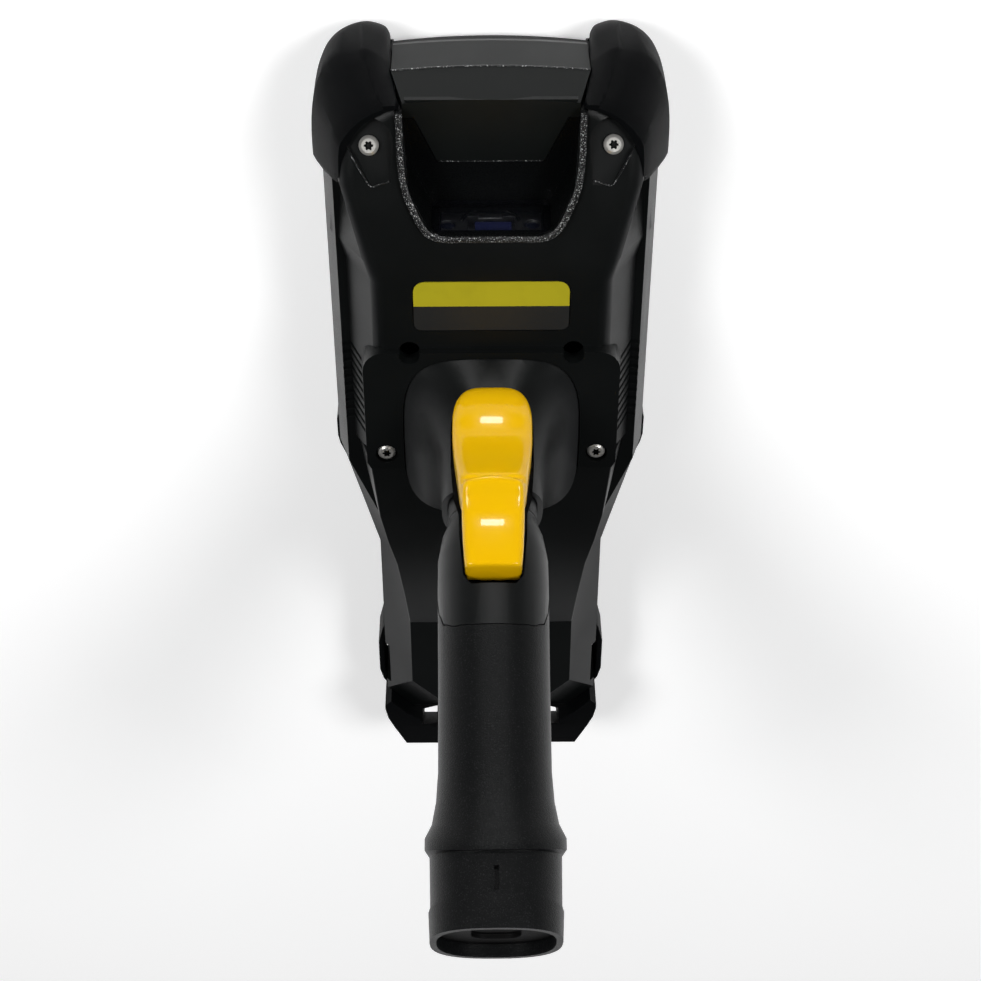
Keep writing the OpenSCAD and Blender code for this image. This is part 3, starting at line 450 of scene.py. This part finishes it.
def mix_finishes(scene):
    """Makes every finish once, from the settings. Each row is its name, its kind and what that kind takes."""
    plastics, keys, glass, metals = (
        scene.terminal_plastics, scene.terminal_keys, scene.terminal_glass, scene.terminal_metals)
    label, trigger = scene.terminal_label, scene.terminal_trigger
    rough, grain, speckle = plastics.roughness, plastics.grain, plastics.speckle
    faint, fine, coarse = 0.01 * MM, 0.02 * MM, 0.05 * MM
    for name, kind, *values in (
        ("housing_plastic", moulded_plastic, plastics.housing, grain, fine, rough),
        ("front_plastic", moulded_plastic, plastics.front, grain, fine, rough + 0.06),
        ("nose_plastic", moulded_plastic, plastics.nose, grain, 0.75 * fine, rough + 0.04, 0.12),
        # The grip's faint glints and the rim's strong ones, the number after the roughness, are painted highlights in
        # their colour
        ("grip_plastic", speckled_plastic, plastics.grip, speckle, coarse, rough + 0.03, 0.02),
        ("rim_plastic", speckled_plastic, plastics.front, speckle, 1.6 * coarse, rough - 0.04, 1.0, 0.4),
        ("bezel_plastic", speckled_plastic, plastics.front, 0.9 * speckle, 1.4 * coarse, rough - 0.06),
        ("bumper_rubber", soft_rubber, plastics.rubber),
        ("seal_rubber", soft_rubber, plastics.seal),
        ("window_glass", dark_glass, glass.window, 0.05, glass.density),
        ("filter_glass", dark_glass, glass.filter),
        ("lens_glass", dark_glass, glass.lens, 0.02),
        ("display_glass", dark_glass, glass.display),
        ("engine_metal", satin_metal, metals.engine, 0.35),
        ("label_yellow", printed_film, label.upper, 0.34),
        ("label_grey", printed_film, label.lower, 0.42),
        ("trigger_plastic", gloss_plastic, trigger.colour, trigger.gloss),
        ("screw_steel", satin_metal, metals.screws, 0.36, 0.6),
        # Painted shade for the screw recesses
        ("screw_recess", satin_metal, metals.recess, 0.5),
        ("switch_plastic", moulded_plastic, metals.switch, grain, faint, 0.4),
        ("battery_plastic", moulded_plastic, plastics.battery, grain, fine, 0.5, 0.06),
        ("contact_brass", satin_metal, metals.contacts, 0.25),
        ("board_laminate", solder_resist, metals.boards),
        ("key_plastic", moulded_plastic, keys.caps, grain, faint, 0.42),
        ("legend_ink", printed_film, keys.ink, 0.5),
        ("power_key_plastic", moulded_plastic, keys.power, grain, faint, 0.42),
    ):
        FINISHES[name] = kind(name, *values)


def coat(piece, slot):
    """Gives a piece one finish."""
    piece.data.materials.clear()
    piece.data.materials.append(FINISHES[slot])


# ---- Modelling helpers ----


def pick_nothing():
    """Leaves edit mode, with nothing selected."""
    if bpy.context.object and bpy.context.object.mode == "EDIT":
        bpy.ops.object.mode_set(mode="OBJECT")
    bpy.ops.object.select_all(action="DESELECT")


def work_on(piece):
    """Makes a piece the only one that operators act on."""
    pick_nothing()
    piece.select_set(True)
    bpy.context.view_layer.objects.active = piece


def edit():
    """Opens edit mode with the corners and faces that are selected."""
    bpy.ops.object.mode_set(mode="EDIT")


def edit_all():
    """Opens edit mode with the whole mesh selected."""
    edit()
    bpy.ops.mesh.select_mode(type="VERT")
    bpy.ops.mesh.select_all(action="SELECT")


def leave_edit():
    """Closes edit mode."""
    bpy.ops.object.mode_set(mode="OBJECT")


def clear_selection():
    """Deselects the whole mesh of the piece in edit mode and closes edit mode."""
    bpy.ops.mesh.select_all(action="DESELECT")
    leave_edit()


def apply_place(piece):
    """Moves a piece's place, turn and size into its mesh."""
    work_on(piece)
    bpy.ops.object.transform_apply(location=True, rotation=True, scale=True)


def apply_modifier(piece, kind, **settings):
    """Adds a modifier and applies it at once."""
    work_on(piece)
    modifier = piece.modifiers.new(kind.title(), kind)
    for key, value in settings.items():
        setattr(modifier, key, value)
    bpy.ops.object.modifier_apply(modifier=modifier.name)


def smooth(piece, angle):
    """Smooth shading, with the edges sharper than an angle left sharp."""
    work_on(piece)
    bpy.ops.object.shade_smooth_by_angle(angle=math.radians(angle), keep_sharp_edges=False)


def cut(piece, *cutters, operation="DIFFERENCE"):
    """Combines a piece with cutters, which are used up."""
    for cutter in cutters:
        apply_modifier(piece, "BOOLEAN", operation=operation, solver="EXACT", object=cutter)
        bpy.data.objects.remove(cutter)


# How near corners are to be one, in metres, and how little faces may turn to be one, in degrees
WELD, FLAT = 0.004 * MM, 0.4


def copy_of(node, name):
    """A welded copy of a frame solid, with its flat faces made whole again."""
    source = frame["nodes"][node]
    piece = source.copy()
    piece.data = source.data.copy()
    piece.name = name
    piece.parent = None
    for key in list(piece.keys()):
        del piece[key]
    bpy.context.scene.collection.objects.link(piece)
    work_on(piece)
    edit_all()
    bpy.ops.mesh.remove_doubles(threshold=WELD)
    bpy.ops.mesh.dissolve_limited(angle_limit=math.radians(FLAT), use_dissolve_boundaries=False)
    leave_edit()
    return piece


def stand_in(piece, body, slot, *nodes, finish=None):
    """Hands a finished piece over: its finish, its body and the solids that it stands for."""
    coat(piece, finish or slot)
    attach(piece, body)
    if nodes:
        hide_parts(*nodes)
    return piece


def body_of(node):
    """The body that a frame solid rides on."""
    return frame["nodes"][node]["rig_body"]


def even_out(piece, angle=35):
    """Smooth shading that leaves flat faces flat."""
    smooth(piece, angle)
    apply_modifier(piece, "WEIGHTED_NORMAL", weight=50, keep_sharp=True)


def rounded(node, radius, *cutters, segments=2):
    """Stands in for a solid, after any cuts, with its edges rounded as a mould leaves them."""
    piece = copy_of(node, node + "_moulded")
    cut(piece, *cutters)
    apply_modifier(piece, "BEVEL", width=radius, segments=segments, limit_method="ANGLE",
                   angle_limit=math.radians(28), use_clamp_overlap=True, miter_outer="MITER_ARC")
    even_out(piece)
    return stand_in(piece, body_of(node), SLOT_OF[node], node)


def flow(stations, steps=3):
    """Fills in steps between stations, on a Catmull-Rom curve through them."""
    ends = [stations[0]] + list(stations) + [stations[-1]]
    made = []
    for four in zip(ends, ends[1:], ends[2:], ends[3:]):
        for i in range(steps):
            t = i / steps
            made.append([0.5 * (2 * q + (r - p) * t + (2 * p - 5 * q + 4 * r - s) * t * t
                                + (3 * q - p - 3 * r + s) * t * t * t) for p, q, r, s in zip(*four)])
    return made + [list(stations[-1])]


def skin(name, stations, squareness):
    """A form of rounded sections. Each station is its height, width, lowest and highest depth, in millimetres."""
    pick_nothing()
    bpy.ops.mesh.primitive_plane_add(size=MM)
    piece = bpy.context.object
    piece.name = name
    edit_all()
    # The corners of the square are rounded until they all but meet at the middles of its sides
    bpy.ops.mesh.bevel(offset=0.4999 * MM, segments=12, profile=squareness, affect="VERTICES", clamp_overlap=False)
    bpy.ops.mesh.select_all(action="SELECT")
    bpy.ops.mesh.remove_doubles(threshold=0.0005 * MM)
    bpy.ops.mesh.select_all(action="SELECT")
    at, across, deep = Vector(), 1.0, 1.0
    for i, (height, width, low, high) in enumerate(stations):
        if i:
            bpy.ops.mesh.extrude_region_move()
        to = Vector((0, (low + high) / 2, height)) * MM
        bpy.ops.transform.translate(value=to - at)
        bpy.ops.transform.resize(value=(width / across, (high - low) / deep, 1), center_override=to)
        at, across, deep = to, width, high - low
    bpy.ops.mesh.select_all(action="SELECT")
    bpy.ops.mesh.normals_make_consistent(inside=False)
    leave_edit()
    return piece


def form(name, outlines):
    """A closed form through outlines that each have the same number of points, in metres."""
    pick_nothing()
    count = len(outlines[0])
    bpy.ops.mesh.primitive_circle_add(vertices=count, radius=1, fill_type="NGON")
    piece = bpy.context.object
    piece.name = name
    edit_all()
    for _ in outlines[1:]:
        bpy.ops.mesh.extrude_region_move(TRANSFORM_OT_translate={"value": (0, 0, 1)})
    leave_edit()
    # Each corner's height counts its outline, and its angle counts its point
    for vertex in piece.data.vertices:
        x, y, z = vertex.co
        vertex.co = outlines[round(z)][round(math.atan2(y, x) / math.tau * count) % count]
    face_out(piece)
    return piece


def face_out(piece):
    """Turns all faces outwards."""
    work_on(piece)
    edit_all()
    bpy.ops.mesh.normals_make_consistent(inside=False)
    leave_edit()


def bead(name, path, wide, high):
    """A rounded bead along a path of points, so wide and high over the path, in millimetres."""
    sides = 10
    turns = [math.tau * k / sides for k in range(sides)]
    outlines = []
    for i, at in enumerate(path):
        along = (Vector(path[min(i + 1, len(path) - 1)]) - Vector(path[max(i - 1, 0)])).normalized()
        across = along.cross(Vector((0, 0, 1))).normalized()
        up = across.cross(along)
        outlines.append([(Vector(at) + across * wide / 2 * math.cos(angle) + up * high * math.sin(angle)) * MM
                         for angle in turns])
    piece = form(name, outlines)
    smooth(piece, 60)
    return piece


def plate(name, middle, size, margin):
    """A small plate, in millimetres, whose front face stands a little proud inside a margin."""
    pick_nothing()
    bpy.ops.mesh.primitive_cube_add(size=MM, location=Vector(middle) * MM)
    piece = bpy.context.object
    piece.name = name
    edit_all()
    bpy.ops.transform.resize(value=size)
    clear_selection()
    for face in piece.data.polygons:
        face.select = face.normal.y > 0.5
    edit()
    bpy.ops.mesh.inset(thickness=margin * 0.6 * MM, depth=0.1 * MM)
    leave_edit()
    apply_place(piece)
    apply_modifier(piece, "BEVEL", width=margin * 0.4 * MM, segments=2, limit_method="ANGLE", use_clamp_overlap=True)
    even_out(piece)
    return piece


def to_handle(piece):
    """Moves a piece drawn as across, front and down from the origin into the handle's own frame."""
    piece.matrix_world = Matrix.Translation(ROOT) @ Matrix((Vector((1, 0, 0)), FRONT, AXIS)).transposed().to_4x4()
    apply_place(piece)
    face_out(piece)


# ---- Steps ----


class Build:
    """What every step shares: it builds its pieces or stops the script."""

    bl_options = {"REGISTER", "UNDO"}

    def execute(self, context):
        self.build(context.scene)
        return {"FINISHED"}


class TERMINAL_OT_finishes(Build, bpy.types.Operator):
    """Mix the finishes and give every frame solid its own"""

    bl_idname = "terminal.finishes"
    bl_label = "Finishes"

    def build(self, scene):
        mix_finishes(scene)
        for node, piece in frame["nodes"].items():
            coat(piece, SLOT_OF[node])


class TERMINAL_OT_housings(Build, bpy.types.Operator):
    """Round the edges of the two housings and the pieces that close them"""

    bl_idname = "terminal.housings"
    bl_label = "Housings"

    def build(self, scene):
        edges = scene.terminal_edges
        for node in ("rear_housing", "scan_bezel"):
            rounded(node, edges.housing)
        rounded("front_housing", edges.housing, self.bow())
        self.nose()
        self.engine()
        self.rim()
        self.pocket_edges()
        rounded("handle_saddle", edges.rubber, segments=3)
        for node in ("display_glass", "dock_connector", "scan_engine", "battery_contacts"):
            rounded(node, edges.fine)

    def bow(self):
        """What is cut from the nose of the front housing, so that it bows out a little at its middle."""
        half, tip, bend, beyond = 27, 117.9, 1.5 / 24.5 ** 2, 130
        curve = [(x, tip - bend * x ** 2) for x in range(-half, half + 1, 3)] + [(half, beyond), (-half, beyond)]
        return form("bow", [[Vector((x, y, z)) * MM for x, y in curve] for z in (2, 11)])

    def nose(self):
        """The band across the nose, with a soft crease; thin beads along the crease and the tongue's edge, in a finish
        with painted glints, are painted highlights.
        """
        piece = copy_of("nose_band", "nose_band_moulded")
        edit_all()
        clear_selection()
        crease_height, front = 26 * MM, 117 * MM
        for vertex in piece.data.vertices:
            vertex.select = abs(vertex.co.z - crease_height) < 0.01 * MM and vertex.co.y > front
        edit()
        bpy.ops.transform.translate(value=Vector((0, 0.9, 0.8)) * MM)
        leave_edit()
        points = [vertex.co / MM for vertex in piece.data.vertices]
        crease = [tuple(vertex.co / MM) for vertex in piece.data.vertices if vertex.select]
        apply_modifier(piece, "BEVEL", width=0.35 * MM, segments=2, limit_method="ANGLE",
                       angle_limit=math.radians(9), use_clamp_overlap=True)
        even_out(piece, 20)
        stand_in(piece, FIXED, "nose_plastic", "nose_band")
        tongue = min(point.y for point in points)
        rear = [point for point in points if point.y < tongue + 0.05]
        top = max(point.z for point in rear)
        ends = [min(point.x for point in rear) + 0.4, max(point.x for point in rear) - 0.4]
        # Painted highlights: a thin bead on the crease and one along the tongue's lower edge, both in the finish with
        # painted glints
        for name, path, wide, high in (
            ("nose_crease_highlight_line", sorted(crease), 0.42, 0.24),
            ("tongue_edge_highlight_line", [(x, tongue, top) for x in ends], 0.3, 0.14),
        ):
            stand_in(bead(name, path, wide, high), FIXED, "nose_plastic", finish="rim_plastic")

    def pocket_edges(self):
        """A thin bead along the sharp lower edge of each screw pocket, in the finish with painted glints, as a painted
        highlight on the edge.
        """
        edge = ((34.3, 104.1), (32.25, 100.2), (30.3, 96.7), (29.5, 96.1), (25.2, 97.5))
        for side, hand in (("left", -1), ("right", 1)):
            line = bead("pocket_edge_" + side, [on_hood(hand * x, y, 0.03) for x, y in edge], 0.34, 0.2)
            stand_in(line, FIXED, "housing_plastic", finish="rim_plastic")

    def engine(self):
        """The face of the scan engine behind the window: a hooded light bar over a tinted filter."""
        arch = flow(((-7.4, 36), (-6.3, 33.4), (-4, 31.7), (-0.2, 31), (3.8, 31.7), (6.1, 33.4), (7.2, 36.1)))
        hood = bead("engine_hood", [(x, 82.6, z) for x, z in arch], 0.9, 0.4)
        stand_in(hood, FIXED, "engine_metal", finish="housing_plastic")
        bar = plate("engine_light_bar", (-0.15, 82.65, 34.9), (6.3, 0.9, 2.4), 0.5)
        stand_in(bar, FIXED, "engine_metal")
        filter_plate = plate("engine_filter", (0.5, 82.5, 39.2), (9.3, 0.6, 4.0), 0.25)
        stand_in(filter_plate, FIXED, "lens_glass", finish="filter_glass")

    def rim(self):
        """The speckled bead along the rim of the scan bay, in the finish with painted glints as painted highlights on
        its crest.
        """
        half = flow(((0, 83.05), (7, 83.05), (12.2, 83.1), (15.4, 84.2), (17.7, 86.9), (19.4, 90.6), (20.9, 94.4),
                     (21.9, 99), (22.3, 104), (22.4, 109), (22.45, 115)), 4)
        path = [(-x, y) for x, y in reversed(half[1:])] + half
        piece = bead("scan_bay_rim", [on_hood(x, y, 1.0) for x, y in path], 2.0, 0.75)
        stand_in(piece, FIXED, "bezel_plastic", finish="rim_plastic")


class TERMINAL_OT_bumpers(Build, bpy.types.Operator):
    """Round the corner bumpers and the strap loops"""

    bl_idname = "terminal.bumpers"
    bl_label = "Bumpers"

    def build(self, scene):
        edges = scene.terminal_edges
        left = self.head_bumper()
        right = left.copy()
        right.data = left.data.copy()
        right.name = "head_bumper_right_moulded"
        scene.collection.objects.link(right)
        work_on(right)
        edit_all()
        bpy.ops.transform.mirror(constraint_axis=(True, False, False), center_override=(0, 0, 0))
        leave_edit()
        face_out(right)
        for side, piece in (("left", left), ("right", right)):
            stand_in(piece, FIXED, "bumper_rubber", "head_bumper_" + side)
            rounded("tail_bumper_" + side, edges.rubber, segments=3)
            rounded("strap_loop_" + side, edges.fine)

    def head_bumper(self):
        """Trims the solid to a form whose sides roll in at the foot and lean in above a soft crease."""
        # Outlines seen from the back, in millimetres: at the widest, at the crease and at the top
        flank = ((34.5, 123.1), (37.8, 121.7), (40.6, 119.3), (42.6, 116), (44, 111.8), (44.9, 106.6), (45.3, 101),
                 (45.35, 95), (45, 91.6), (43.6, 89.9), (41.5, 89.2), (38, 88.6))
        girth = flow(((18, 117), (24.4, 117.6), (25, 119.8), (26, 121.8), (28.2, 122.9), (31.2, 123.6), *flank))
        brow = flow(((18, 117), (22, 118), (24.8, 119.9), (26.8, 121.5), (29, 123), (31.2, 123.7), *flank))
        crown = flow(((18, 117), (22, 117.2), (24.6, 117.4), (26.2, 117.4), (27.8, 117.2), (29.6, 116.8), (31.8, 115.9),
                      (33.9, 114.5), (35.6, 112.6), (36.8, 110.2), (37.6, 107.4), (38.1, 104), (38.3, 100.6),
                      (38.3, 97), (38.1, 94.8), (37.3, 93.6), (36, 92.9), (34, 92.6)))
        sole = [(30 + (x - 30) * 0.79, 104 + (y - 104) * 0.79) for x, y in girth]
        inner_side = [(20, 70), (10, 70), (10, 110)]
        outlines = []
        # Each level is its height, the outlines that it lies between, and its share of the way
        for z, low, high, share in ((-0.5, girth, sole, 1.08), (1, girth, sole, 0.84), (2.5, girth, sole, 0.64),
                                    (4, girth, sole, 0.47), (6, girth, sole, 0.27), (8, girth, sole, 0.13),
                                    (11, girth, sole, 0.03), (14, girth, brow, 0.1), (18, girth, brow, 0.5),
                                    (22.6, girth, brow, 1), (23.2, brow, crown, 0.012), (24, brow, crown, 0.05),
                                    (28, brow, crown, 0.26), (32, brow, crown, 0.49), (36, brow, crown, 0.75),
                                    (38.6, brow, crown, 0.94), (40.5, brow, crown, 1.14)):
            ring = [(a[0] + (b[0] - a[0]) * share, a[1] + (b[1] - a[1]) * share) for a, b in zip(low, high)]
            outlines.append([Vector((-x, y, z)) * MM for x, y in ring + inner_side])
        piece = copy_of("head_bumper_left", "head_bumper_left_moulded")
        # The outer corner is fuller than the solid's: it moves out from a middle, most in one direction
        middle, fuller, corner, width, core = Vector((-26.5, 103.4, 0)) * MM, 2.7 * MM, 52, 24, 16.5 * MM
        for vertex in piece.data.vertices:
            out = vertex.co - middle
            out.z = 0
            off = math.degrees(math.atan2(out.y, -out.x)) - corner
            outer = min(max(out.length - core, 0) / (2 * MM), 1)
            vertex.co += out.normalized() * (fuller * outer * math.exp(-(off / width) ** 2))
        cut(piece, form("bumper_form", outlines), operation="INTERSECT")
        smooth(piece, 32)
        return piece


class TERMINAL_OT_handle(Build, bpy.types.Operator):
    """Round the grip, its shroud and cover, and the battery inside it"""

    bl_idname = "terminal.handle"
    bl_label = "Handle"

    def build(self, scene):
        edges = scene.terminal_edges
        for node in ("grip_shell", "neck_cover", "trigger_shroud", "battery_pack", "battery_latch"):
            rounded(node, edges.fine)


class TERMINAL_OT_trigger(Build, bpy.types.Operator):
    """Model the two glossy lobes of the trigger"""

    bl_idname = "terminal.trigger"
    bl_label = "Trigger"

    def build(self, scene):
        # Each station is its distance down the handle, width, back and front
        upper = skin("trigger_upper", flow((
            (4.05, 5, 12.5, 16.6), (4.35, 9.4, 12, 18), (5.1, 13, 12, 19.1), (6.6, 16.2, 12, 20.1),
            (8.8, 18.6, 12, 21), (11.6, 20, 12, 21.6), (14, 20.4, 12, 21.8), (16.5, 20.4, 12, 21.8), (19, 20.4, 12, 22),
            (22, 20.1, 12, 22.8), (25.5, 19.5, 12, 24.3), (29, 18.6, 12, 26.2), (32, 17.8, 12, 27.8),
            (33.6, 17.4, 12, 28.1), (36, 16.8, 12.5, 26.4), (38, 15.6, 13.5, 23.6),
        )), squareness=0.79)
        lower = skin("trigger_lower", flow((
            (31.6, 15, 14, 22), (32.6, 15.2, 13.5, 26.6), (33.2, 15.3, 13, 28), (34, 15.4, 12.8, 28.3),
            (35.4, 15.5, 12.5, 27.9), (37.8, 15.6, 12, 26.5), (41, 15.6, 12, 25.3), (43.5, 15.5, 12, 25.05),
            (46, 15.3, 12, 25.1), (50, 14.9, 12, 24.85), (53, 14.4, 12, 24.5), (54.6, 14, 12, 24.2),
            (55.1, 13.6, 12.4, 24), (55.35, 13, 12.9, 23.6), (55.5, 12.2, 13.6, 23),
        )), squareness=0.9)
        # Both fronts are crowned, from their backs at 15 to their full depth, and the ridge between them is arched
        crown, ridge, ridge_length = 0.0105, 35, 7
        for lobe, arch in ((upper, 0), (lower, 0.026)):
            for vertex in lobe.data.vertices:
                across, front, down = vertex.co / MM
                near_ridge = max(0.0, 1 - max(0.0, down - ridge) / ridge_length)
                vertex.co.y -= crown * across ** 2 * max(0.0, min(1.0, (front - 15) / 5)) * MM
                vertex.co.z += arch * near_ridge * across ** 2 * MM
            to_handle(lobe)
        # The hub inside the handle keeps the solid's form, a little narrower, up to the backs of the lobes
        hub = copy_of("trigger", "trigger_moulded")
        edit_all()
        bpy.ops.transform.resize(value=(0.8, 1, 1), center_override=(0, 0, 0))
        bpy.ops.mesh.bisect(plane_co=ROOT + FRONT * 12.6 * MM, plane_no=FRONT, use_fill=True, clear_outer=True)
        leave_edit()
        cut(hub, upper, lower, operation="UNION")
        smooth(hub, 42)
        stand_in(hub, "trigger", "trigger_plastic", "trigger")


class TERMINAL_OT_keys(Build, bpy.types.Operator):
    """Round the key caps and print their figures"""

    bl_idname = "terminal.keys"
    bl_label = "Keys"

    def build(self, scene):
        for node in frame["nodes"]:
            if "key" in node and node != "keypad_board":
                rounded(node, scene.terminal_edges.fine)
        # 1 to 9 stand in three rows of three, and 0 in the middle below them
        for number in range(10):
            row, column = divmod(number - 1, 3) if number else (3, 1)
            self.figure(f"key_r{row + 2}_c{4 - column}", str(number), scene.terminal_keys.height)

    def figure(self, node, number, height):
        """One plain figure printed on a key, riding on the key's own body."""
        points = [corner.co for corner in frame["nodes"][node].data.vertices]
        low = min(point.z for point in points)
        middle = [(min(point[i] for point in points) + max(point[i] for point in points)) / 2 for i in (0, 1)]
        pick_nothing()
        bpy.ops.object.text_add(location=(middle[0], middle[1], low - 0.01 * MM), rotation=(math.pi, 0, math.pi))
        text = bpy.context.object.data
        text.body = number
        text.size = height
        text.align_x, text.align_y = "CENTER", "CENTER"
        text.extrude = 0.02 * MM
        bpy.ops.object.convert(target="MESH")
        piece = bpy.context.object
        piece.name = node + "_figure"
        apply_place(piece)
        stand_in(piece, body_of(node), SLOT_OF[node], finish="legend_ink")


class TERMINAL_OT_fasteners(Build, bpy.types.Operator):
    """Round the screw heads and paint shade into their recesses"""

    bl_idname = "terminal.fasteners"
    bl_label = "Fasteners"

    def build(self, scene):
        for node in ("hood_screws", "block_screws"):
            self.darken_recesses(rounded(node, scene.terminal_edges.screws))

    def darken_recesses(self, piece):
        """The walls and floor of each six-lobe recess take the dark finish, as painted shade."""
        piece.data.materials.append(FINISHES["screw_recess"])
        lip, floor, radius = 0.1 * MM, 1.3 * MM, 1.35 * MM
        for hand in (-1, 1):
            faces = [face for face in piece.data.polygons if face.center.x * hand > 0]
            top = max((face for face in faces if face.normal.z > 0.5), key=lambda face: face.area)
            rim = [piece.data.vertices[i].co for i in top.vertices]
            middle = Vector([(min(p[i] for p in rim) + max(p[i] for p in rim)) / 2 for i in range(3)])
            for face in faces:
                down = (middle - face.center).dot(top.normal)
                across = (face.center - middle + top.normal * down).length
                if lip < down < floor and across < radius:
                    face.material_index = 1


class TERMINAL_OT_stage(Build, bpy.types.Operator):
    """Floor, lamps, surroundings and camera"""

    bl_idname = "terminal.stage"
    bl_label = "Stage"

    def build(self, scene):
        self.floor(scene.terminal_stage)
        self.surroundings(scene)
        self.lamps(scene.terminal_stage)
        self.camera(scene)
        scene.view_settings.view_transform = "Standard"

    def floor(self, settings):
        """A pale floor that is seen and mirrored as white, and darkens far beyond the scan head."""
        pick_nothing()
        bpy.ops.mesh.primitive_plane_add(size=6, location=(0, 0, CAD_BOX[0][2] - 0.02 * MM))
        floor = bpy.context.object
        floor.name = "studio_floor"
        paint = Paint("studio_floor")
        near = 1 - paint.spread(paint.axis(paint.place, "Y"), 0.13, 0.7)
        far = rgba(settings.floor, settings.far_floor)
        paint.set(Base_Color=paint.mix(near, far, rgba(settings.floor)), Roughness=0.9, Specular_IOR_Level=0.1)
        ray = paint.node("ShaderNodeLightPath", {}).outputs
        seen = sum(Value(paint, ray[f"Is {kind} Ray"]) for kind in ("Camera", "Glossy", "Transmission"))
        glow = paint.node("ShaderNodeEmission", {}, Strength=near * seen * settings.glow)
        both = paint.node("ShaderNodeAddShader", {}, paint.shader.outputs[0], glow.outputs[0])
        paint.feed(paint.tree.nodes["Material Output"].inputs["Surface"], both.outputs[0])
        floor.data.materials.append(paint.material)

    def surroundings(self, scene):
        """A dark room with a pale band along the horizon at the sides and behind the tail."""
        world = bpy.data.worlds.new("studio")
        scene.world = world
        world.use_nodes = True
        sky = Nodes(world.node_tree)
        towards = sky.node("ShaderNodeTexCoord", {}).outputs["Generated"]

        def ramp(source, *stops):
            levels = [(at, (level, level, level * 1.02, 1)) for at, level in stops]
            return sky.node("ShaderNodeValToRGB", {"stops": levels}, source).outputs[0]

        height = ramp(sky.axis(towards, "Z"),
                      (0.0, 1.1), (0.16, 0.8), (0.34, 0.13), (0.6, 0.06), (0.85, 0.03), (1.0, 0.008))
        around = ramp(sky.axis(towards, "Y") * 0.5 + 0.5,
                      (0.0, 0.3), (0.1, 0.5), (0.28, 1.0), (0.5, 1.0), (0.72, 0.25), (1.0, 0.05))
        sky.feed(sky.tree.nodes["Background"].inputs["Color"], sky.mix(1.0, height, around, "MULTIPLY"))

    def lamps(self, settings):
        """Two high lamps at the sides, one low beyond the scan head and one low behind the tail, in metres."""
        centre = Vector((0, 0.01, 0.07))
        for name, offset, size, power in (
            ("lamp_left", (-0.5, 0.42, 0.72), (0.3, 0.3), settings.side_power),
            ("lamp_right", (0.5, 0.42, 0.72), (0.3, 0.3), settings.side_power),
            ("lamp_head", (0, 0.95, 0.05), (0.22, 0.09), settings.head_power),
            ("lamp_tail", (0, -0.9, 0.22), (1.0, 0.16), settings.tail_power),
        ):
            bpy.ops.object.light_add(type="AREA", location=centre + Vector(offset))
            lamp = bpy.context.object
            lamp.name = name
            lamp.data.shape = "RECTANGLE"
            lamp.data.size, lamp.data.size_y = size
            lamp.data.energy = power
            lamp.rotation_euler = Vector(offset).to_track_quat("Z", "Y").to_euler()

    def camera(self, scene):
        """A camera above the scan head that looks back along the body, with its own place in metres."""
        settings = scene.terminal_stage
        lean = Matrix.Rotation(settings.lean, 3, "Y")
        pivot, place, shift = Vector((0, 0, 0.020)), Vector((0, 0.4594, 0.4489)), Vector((0, 0.120, 0))
        at = lean @ (place - pivot) + pivot - shift
        right = lean @ Vector((1, 0, 0))
        forward = lean @ Vector((0, -math.sin(settings.pitch), -math.cos(settings.pitch)))
        up = lean @ Vector((0, math.cos(settings.pitch), -math.sin(settings.pitch)))
        bpy.ops.object.camera_add(location=at)
        camera = bpy.context.object
        camera.name = "camera"
        camera.matrix_world = Matrix.Translation(at) @ Matrix((right, up, -forward)).transposed().to_4x4()
        camera.data.sensor_width = 36
        camera.data.lens = settings.lens
        camera.data.clip_start = 0.01
        scene.camera = camera


class TERMINAL_PT_panel(bpy.types.Panel):
    """Lists the steps that dress the terminal"""

    bl_idname = "TERMINAL_PT_panel"
    bl_label = "Terminal"
    bl_space_type = "VIEW_3D"
    bl_region_type = "UI"
    bl_category = "Terminal"

    def draw(self, context):
        for step in STEPS:
            self.layout.operator(step.bl_idname)


SETTINGS = {
    "terminal_plastics": TerminalPlastics, "terminal_edges": TerminalEdges, "terminal_trigger": TerminalTrigger,
    "terminal_label": TerminalLabel, "terminal_keys": TerminalKeys, "terminal_glass": TerminalGlass,
    "terminal_metals": TerminalMetals, "terminal_stage": TerminalStage,
}
STEPS = (
    TERMINAL_OT_finishes, TERMINAL_OT_housings, TERMINAL_OT_bumpers, TERMINAL_OT_handle, TERMINAL_OT_trigger,
    TERMINAL_OT_keys, TERMINAL_OT_fasteners, TERMINAL_OT_stage,
)


def register():
    """Adds the settings, the steps and the panel."""
    for name, group in SETTINGS.items():
        bpy.utils.register_class(group)
        setattr(bpy.types.Scene, name, PointerProperty(type=group))
    for made in STEPS + (TERMINAL_PT_panel,):
        bpy.utils.register_class(made)


def unregister():
    """Takes the panel, the steps and the settings away again."""
    for made in reversed(STEPS + (TERMINAL_PT_panel,)):
        bpy.utils.unregister_class(made)
    for name, group in SETTINGS.items():
        delattr(bpy.types.Scene, name)
        bpy.utils.unregister_class(group)


def main():
    """Runs every step in order."""
    register()
    for step in STEPS:
        group, name = step.bl_idname.split(".")
        getattr(getattr(bpy.ops, group), name)()


if __name__ == "__main__":
    main()
